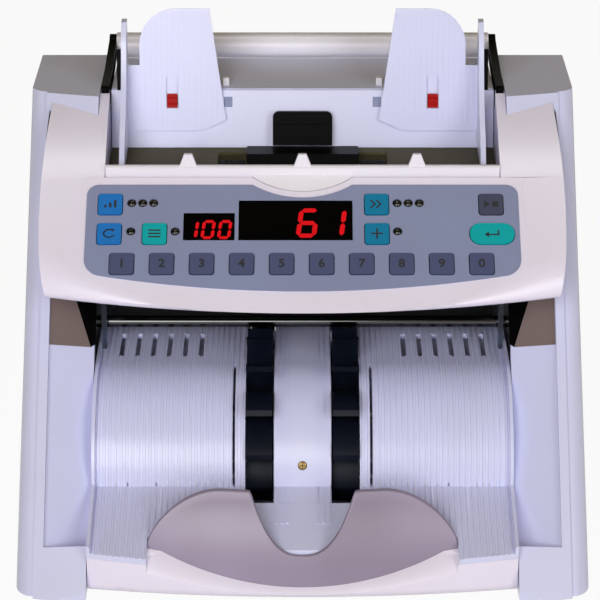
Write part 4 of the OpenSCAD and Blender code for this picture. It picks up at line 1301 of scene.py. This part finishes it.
@dataclass
class FrontStop:
    """Curved wall that holds the stacked notes, with a round finger notch.

    Attributes:
        dresser: Gives the shell its shading.
        axis_y: Setback of the wall's upright axis, in row millimetres.
        arc: Distance from the axis, height and radius of the wall's round section, in millimetres.
        thick: Thickness of the wall in millimetres.
        foot_z: Height of its hidden foot in millimetres.
        half: Half of its width in millimetres.
        horn_z: Height of the horns in millimetres.
        notch: Half width, height at that place and lowest height of the finger notch, in millimetres.
        shoulder: Place where the shoulders start to fall, and their fall, in millimetres.
        lip: Lowest height of the base's lip and its rise to the sides, in millimetres.
        notch_power: Power of the notch's curve.
        shoulder_power: Power of the shoulders' curve.
        corner: Softness of the horns' corners in millimetres.
        corner_reach: Corner softnesses above the horn where the notch has no more effect.
        edge: Height of the rounded rim in millimetres.
        base_y: Setback of the base's front in the middle, in row millimetres.
        base_r: Radius of the base's front in plan, in millimetres.
        lip_fall: Fall of the lip to the front for each unit of its depth.
        lip_bulge: Share of the depth where the lip is roundest.
        cut_lap: Lap of the cut at both edges of the lip, in millimetres.
        cut_skin: Depth of the cut below the wall's foot, in millimetres.
        cut_clear: Room that the cut takes ahead of the base, in millimetres.
        columns: Steps across the wall.
        rows: Steps up the wall.
        edge_steps: Steps around the rim.
    """

    dresser: Dresser
    axis_y: float = 219.0
    arc: tuple[float, float, float] = (268.0, 6.0, 73.0)
    thick: float = 3.0
    foot_z: float = 9.2
    half: float = 74.0
    horn_z: float = 53.4
    notch: tuple[float, float, float] = (22.4, 47.4, 26.8)
    notch_power: float = 2.5
    shoulder: tuple[float, float] = (38.0, 24.5)
    shoulder_power: float = 0.7
    lip: tuple[float, float] = (12.0, 17.5)
    corner: float = 0.7
    corner_reach: float = 20.0
    edge: float = 1.1
    base_y: float = -125.0
    base_r: float = 680.0
    lip_fall: float = 1.0
    lip_bulge: float = 0.62
    cut_lap: float = 0.1
    cut_skin: float = 0.05
    cut_clear: float = 2.0
    columns: int = 148
    rows: int = 14
    edge_steps: int = 6

    def bulge(self, z: float, inward: float = 0.0) -> float:
        """Distance of the wall from its axis at a height.

        Args:
            z: Height in millimetres.
            inward: Depth in the wall, in millimetres.

        Returns:
            The distance in millimetres.
        """
        reach, middle, radius = self.arc
        return reach + math.sqrt((radius - inward) ** 2 - (z - middle) ** 2)

    def setback(self, r: float, x: float) -> float:
        """Setback of a point at a distance from the axis and a sideways place, in row millimetres."""
        return self.axis_y - math.sqrt(r ** 2 - x ** 2)

    def lip_z(self, x: float) -> float:
        """Height of the base's lip at a sideways place, in millimetres."""
        low, rise = self.lip
        return low + rise * (x / self.half) ** 2

    def rim(self, x: float) -> float:
        """Height of the rim at a sideways place, in millimetres.

        Args:
            x: Sideways place in millimetres.

        Returns:
            The height.
        """
        a = abs(x)
        wide, high, low = self.notch
        dip = low + (high - low) * (a / wide) ** self.notch_power
        if dip < self.horn_z + self.corner_reach * self.corner:
            horn = self.horn_z - self.corner * math.log1p(math.exp((self.horn_z - dip) / self.corner))
        else:
            horn = self.horn_z
        start, drop = self.shoulder
        share = min(max(a - start, 0.0) / (self.half - start), 1.0)
        fall = drop * (1 - (1 - share ** 2) ** self.shoulder_power)
        return max(horn - fall, self.lip_z(x))

    def section(self, x: float) -> list[Vector]:
        """Ring of points around the wall at a sideways place.

        Args:
            x: Sideways place in millimetres.

        Returns:
            Points up the front, over the rounded rim and down the back.
        """
        top = self.rim(x) - self.edge
        heights = spread(self.foot_z, top, self.rows)
        front = [(self.bulge(z), z) for z in heights]
        back = [(self.bulge(z, self.thick), z) for z in heights]
        over = []
        (r0, _), (r1, _) = front[-1], back[-1]
        for i in range(1, self.edge_steps):
            turn = math.pi * i / self.edge_steps
            over.append(((r0 + r1) / 2 + (r0 - r1) / 2 * math.cos(turn), top + self.edge * math.sin(turn)))
        profile = front + over + back[::-1]
        return [Vector((x, self.setback(r, x), z)) for r, z in profile]

    def build(self) -> None:
        """Adds the shell in place of the CAD wall."""
        places = spread(-self.half, self.half, self.columns)
        shell = Sweep("front_stop_shell", [self.section(x) for x in places])
        # The stop's darker mauve grey is painted shade
        piece = shell.build(self.dresser, Finishes.STOP_PAINTED_SHADE, "casing_plastic")
        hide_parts("front_stop")
        base = CarvedShell("base_shell", "base_pan", [self.lip_cut(places)])
        base.build(self.dresser, Finishes.CONSOLE, "casing_plastic")

    def lip_cut(self, places: Sequence[float]) -> Sweep:
        """Space over the base's lip, which rolls forward from the foot of the wall.

        Args:
            places: Sideways places of the sections, in millimetres.

        Returns:
            The space.
        """
        rings = []
        for x in places:
            z = self.lip_z(x)
            y = self.setback(self.bulge(z), x)
            front = self.base_y + fall_back(self.base_r, x)
            deep = y - front
            start = (y + self.cut_lap, z - self.cut_skin)
            end = (front - self.cut_lap, z - deep * self.lip_fall)
            corner = (y - self.lip_bulge * deep, z - (1 - self.lip_bulge) * deep * self.lip_fall)
            profile = bent(start, corner, end, self.edge_steps)
            ahead = front - self.cut_clear
            profile += [(ahead, end[1]), (ahead, self.horn_z), (start[0], self.horn_z)]
            rings.append([Vector((x, py, pz)) for py, pz in profile])
        return Sweep("lip_cut", rings)


@dataclass
class StackerUnit(SubAssembly):
    """Stacker pocket with its tray, wheels and front stop.

    Attributes:
        hump: Middle of the hump's round, in row millimetres.
        hump_r: Radius of the hump in millimetres.
        screw_turn: Place of the centre screw, in degrees forward of the hump's top.
    """

    # The exit shaft's black is painted shade under the console
    finishes: ClassVar[dict[str, Finish]] = {
        "stacker_tray": Finishes.CASING, "centre_plate": Finishes.CASING, "note_strips": Finishes.STRIP,
        "left_stacker_wheel": Finishes.PADDLE, "right_stacker_wheel": Finishes.PADDLE,
        "stacker_shaft": Finishes.SHAFT, "exit_shaft": Finishes.SHAFT_PAINTED_SHADE,
    }
    hump: Vector = field(default_factory=lambda: Vector((0.0, -26.0, 34.0)))
    hump_r: float = 50.0
    screw_turn: float = 70.0

    def build(self) -> None:
        """Dresses the stacker and adds the front stop and the centre plate's screw."""
        super().build()
        FrontStop(self.dresser).build()
        turn = math.radians(self.screw_turn)
        reach = self.hump_r * Vector((0.0, -math.sin(turn), math.cos(turn)))
        Screw("centre_plate_screw", Plane.rising(self.hump + reach, self.screw_turn)).build(CASING)


@dataclass
class DriveTrain(SubAssembly):
    """Frames, motor, belts and main board."""

    finishes: ClassVar[dict[str, Finish]] = {
        "left_frame": Finishes.SHEET, "right_frame": Finishes.SHEET, "drive_motor": Finishes.SHEET,
        "motor_pulley": Finishes.BLACK_AND_SHADOW, "drive_belt": Finishes.RUBBER_AND_SHADOW, "feed_belt": Finishes.RUBBER_AND_SHADOW,
        "main_board": Finishes.BOARD,
    }


@dataclass
class CarryHandle(SubAssembly):
    """Folding handle: grip bar and slotted arms."""

    finishes: ClassVar[dict[str, Finish]] = {"handle_grip": Finishes.LIP, "handle_arms": Finishes.BLACK_AND_SHADOW}


@dataclass(frozen=True)
class Lamp:
    """A soft area lamp that points at the counter.

    Attributes:
        name: Name of the lamp.
        place: Its place in metres.
        size: Its diameter, or its length, in metres.
        watts: Its power.
        colour: sRGB hex colour.
        tube: Width of a long tube in metres, 0 for a round lamp; a tube only adds highlights.
    """

    name: str
    place: tuple[float, float, float]
    size: float
    watts: float
    colour: str
    tube: float = 0.0

    def build(self, target: Vector) -> None:
        """Adds the lamp, turned to a point.

        Args:
            target: Point that the lamp faces.
        """
        data = bpy.data.lights.new(self.name, "AREA")
        data.shape = "RECTANGLE" if self.tube else "DISK"
        data.size = self.size
        if self.tube:
            data.size_y = self.tube
        data.energy = self.watts
        data.color = linear(self.colour)[:3]
        lamp = add_object(self.name, data)
        lamp.location = self.place
        lamp.rotation_euler = (target - Vector(self.place)).to_track_quat("-Z", "Y").to_euler()
        lamp.visible_diffuse = not self.tube


@dataclass
class Studio:
    """Floor, light and camera.

    Attributes:
        camera_at: Camera's place in metres.
        pitch: Camera's angle below level, in degrees.
        lens: Focal length in millimetres.
        sensor: Width of the sensor in millimetres.
        shift: Sideways shift of the lens.
        floor_colour: sRGB hex colour of the floor.
        floor_half: Half of the floor's width in metres.
        floor_white: Share of plain white in the floor, where it is seen.
        wall_light: Light of the walls on the counter, and where they are seen.
        ceiling_colour: sRGB hex colour of the ceiling.
        ceiling_light: Light of the ceiling.
        horizon: Heights between which the walls give way to the ceiling, as shares of the sky.
        aim: Point that the lamps face, in metres.
        lamps: Lamps of the studio.
    """

    camera_at: tuple[float, float, float] = (0.0, -1.130, 0.610)
    pitch: float = 24.0
    lens: float = 147.0
    sensor: float = 36.0
    shift: float = -0.0042
    floor_colour: str = "DADADA"
    floor_half: float = 4.0
    floor_white: float = 0.94
    wall_light: Point = (0.5, 1.0)
    ceiling_colour: str = "BEA440"
    ceiling_light: float = 0.22
    horizon: Point = (0.08, 0.38)
    aim: Vector = field(default_factory=lambda: Vector((0.0, 0.0, 0.1)))
    lamps: tuple[Lamp, ...] = (
        Lamp("key_lamp", (-0.5, -1.9, 0.92), 1.2, 24.0, "FFFFFF"),
        Lamp("fill_lamp", (1.0, -1.6, 0.80), 1.0, 11.5, "FFFFFF"),
        Lamp("tube_lamp", (0.0, 0.05, 1.6), 1.2, 6.0, "FFFFFF", 0.06),
    )

    def build(self) -> None:
        """Adds the whole studio."""
        self.build_floor()
        self.build_world()
        for lamp in self.lamps:
            lamp.build(self.aim)
        self.build_camera()

    def seen(self, tree: bpy.types.NodeTree) -> bpy.types.NodeSocket:
        """One where a ray shows the background: to the camera, in metal or through glass.

        Args:
            tree: Tree to add the nodes to.

        Returns:
            Socket that is one for such a ray.
        """
        path = add_node(tree, "ShaderNodeLightPath")
        total = path.outputs["Is Camera Ray"]
        for name in ("Is Glossy Ray", "Is Transmission Ray"):
            step = add_node(tree, "ShaderNodeMath", {"operation": "MAXIMUM"},
                            {0: total, 1: path.outputs[name]})
            total = step.outputs[0]
        return total

    def build_floor(self) -> None:
        """Adds the pale floor, which shows white but keeps the shadow."""
        half = self.floor_half
        corners = [(-half, -half, 0), (half, -half, 0), (half, half, 0), (-half, half, 0)]
        floor = add_mesh("floor", corners, [[0, 1, 2, 3]])
        material = bpy.data.materials.new("floor_paper")
        tree = empty_tree(material)
        paper = add_node(tree, "ShaderNodeBsdfDiffuse", {"Color": linear(self.floor_colour)})
        white = add_node(tree, "ShaderNodeEmission", {"Color": (1, 1, 1, 1), "Strength": 1.0})
        share = add_node(tree, "ShaderNodeMath", {"operation": "MULTIPLY", 1: self.floor_white},
                         {0: self.seen(tree)})
        mix = add_node(tree, "ShaderNodeMixShader",
                       links={0: share.outputs[0], 1: paper.outputs[0], 2: white.outputs[0]})
        add_node(tree, "ShaderNodeOutputMaterial", links={"Surface": mix.outputs[0]})
        floor.data.materials.append(material)

    def build_world(self) -> None:
        """Adds the room: pale walls, seen as white, under a dim warm ceiling."""
        world = bpy.data.worlds.new("studio")
        bpy.context.scene.world = world
        tree = empty_tree(world)
        dim, full = self.wall_light
        level = add_node(tree, "ShaderNodeMapRange", {"To Min": dim, "To Max": full},
                         {"Value": self.seen(tree)})
        walls = add_node(tree, "ShaderNodeBackground", {"Color": (1, 1, 1, 1)},
                         {"Strength": level.outputs["Result"]})
        ceiling = add_node(tree, "ShaderNodeBackground",
                           {"Color": linear(self.ceiling_colour), "Strength": self.ceiling_light})
        place = add_node(tree, "ShaderNodeTexCoord")
        height = add_node(tree, "ShaderNodeSeparateXYZ", links={"Vector": place.outputs["Generated"]})
        start, end = self.horizon
        low = add_node(tree, "ShaderNodeMapRange",
                       {"From Min": start, "From Max": end, "To Min": 1.0, "To Max": 0.0},
                       {"Value": height.outputs["Z"]})
        mix = add_node(tree, "ShaderNodeMixShader",
                       links={0: low.outputs["Result"], 1: ceiling.outputs[0], 2: walls.outputs[0]})
        add_node(tree, "ShaderNodeOutputWorld", links={"Surface": mix.outputs[0]})

    def build_camera(self) -> None:
        """Adds the camera at the photograph's angle."""
        data = bpy.data.cameras.new("camera")
        data.lens = self.lens
        data.sensor_width = self.sensor
        data.shift_x = self.shift
        data.dof.use_dof = False
        camera = add_object("camera", data)
        camera.location = self.camera_at
        camera.rotation_euler = (math.radians(90 - self.pitch), 0, 0)
        bpy.context.scene.camera = camera


def main() -> None:
    """Builds the scene."""
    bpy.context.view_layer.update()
    bpy.context.scene.view_settings.view_transform = "Standard"
    dresser = Dresser()
    for part in (Casing, Console, Hopper, StackerUnit, DriveTrain, CarryHandle):
        part(dresser).build()
        log.info("built %s", part.__name__)
    Studio().build()


if __name__ == "__main__":
    main()
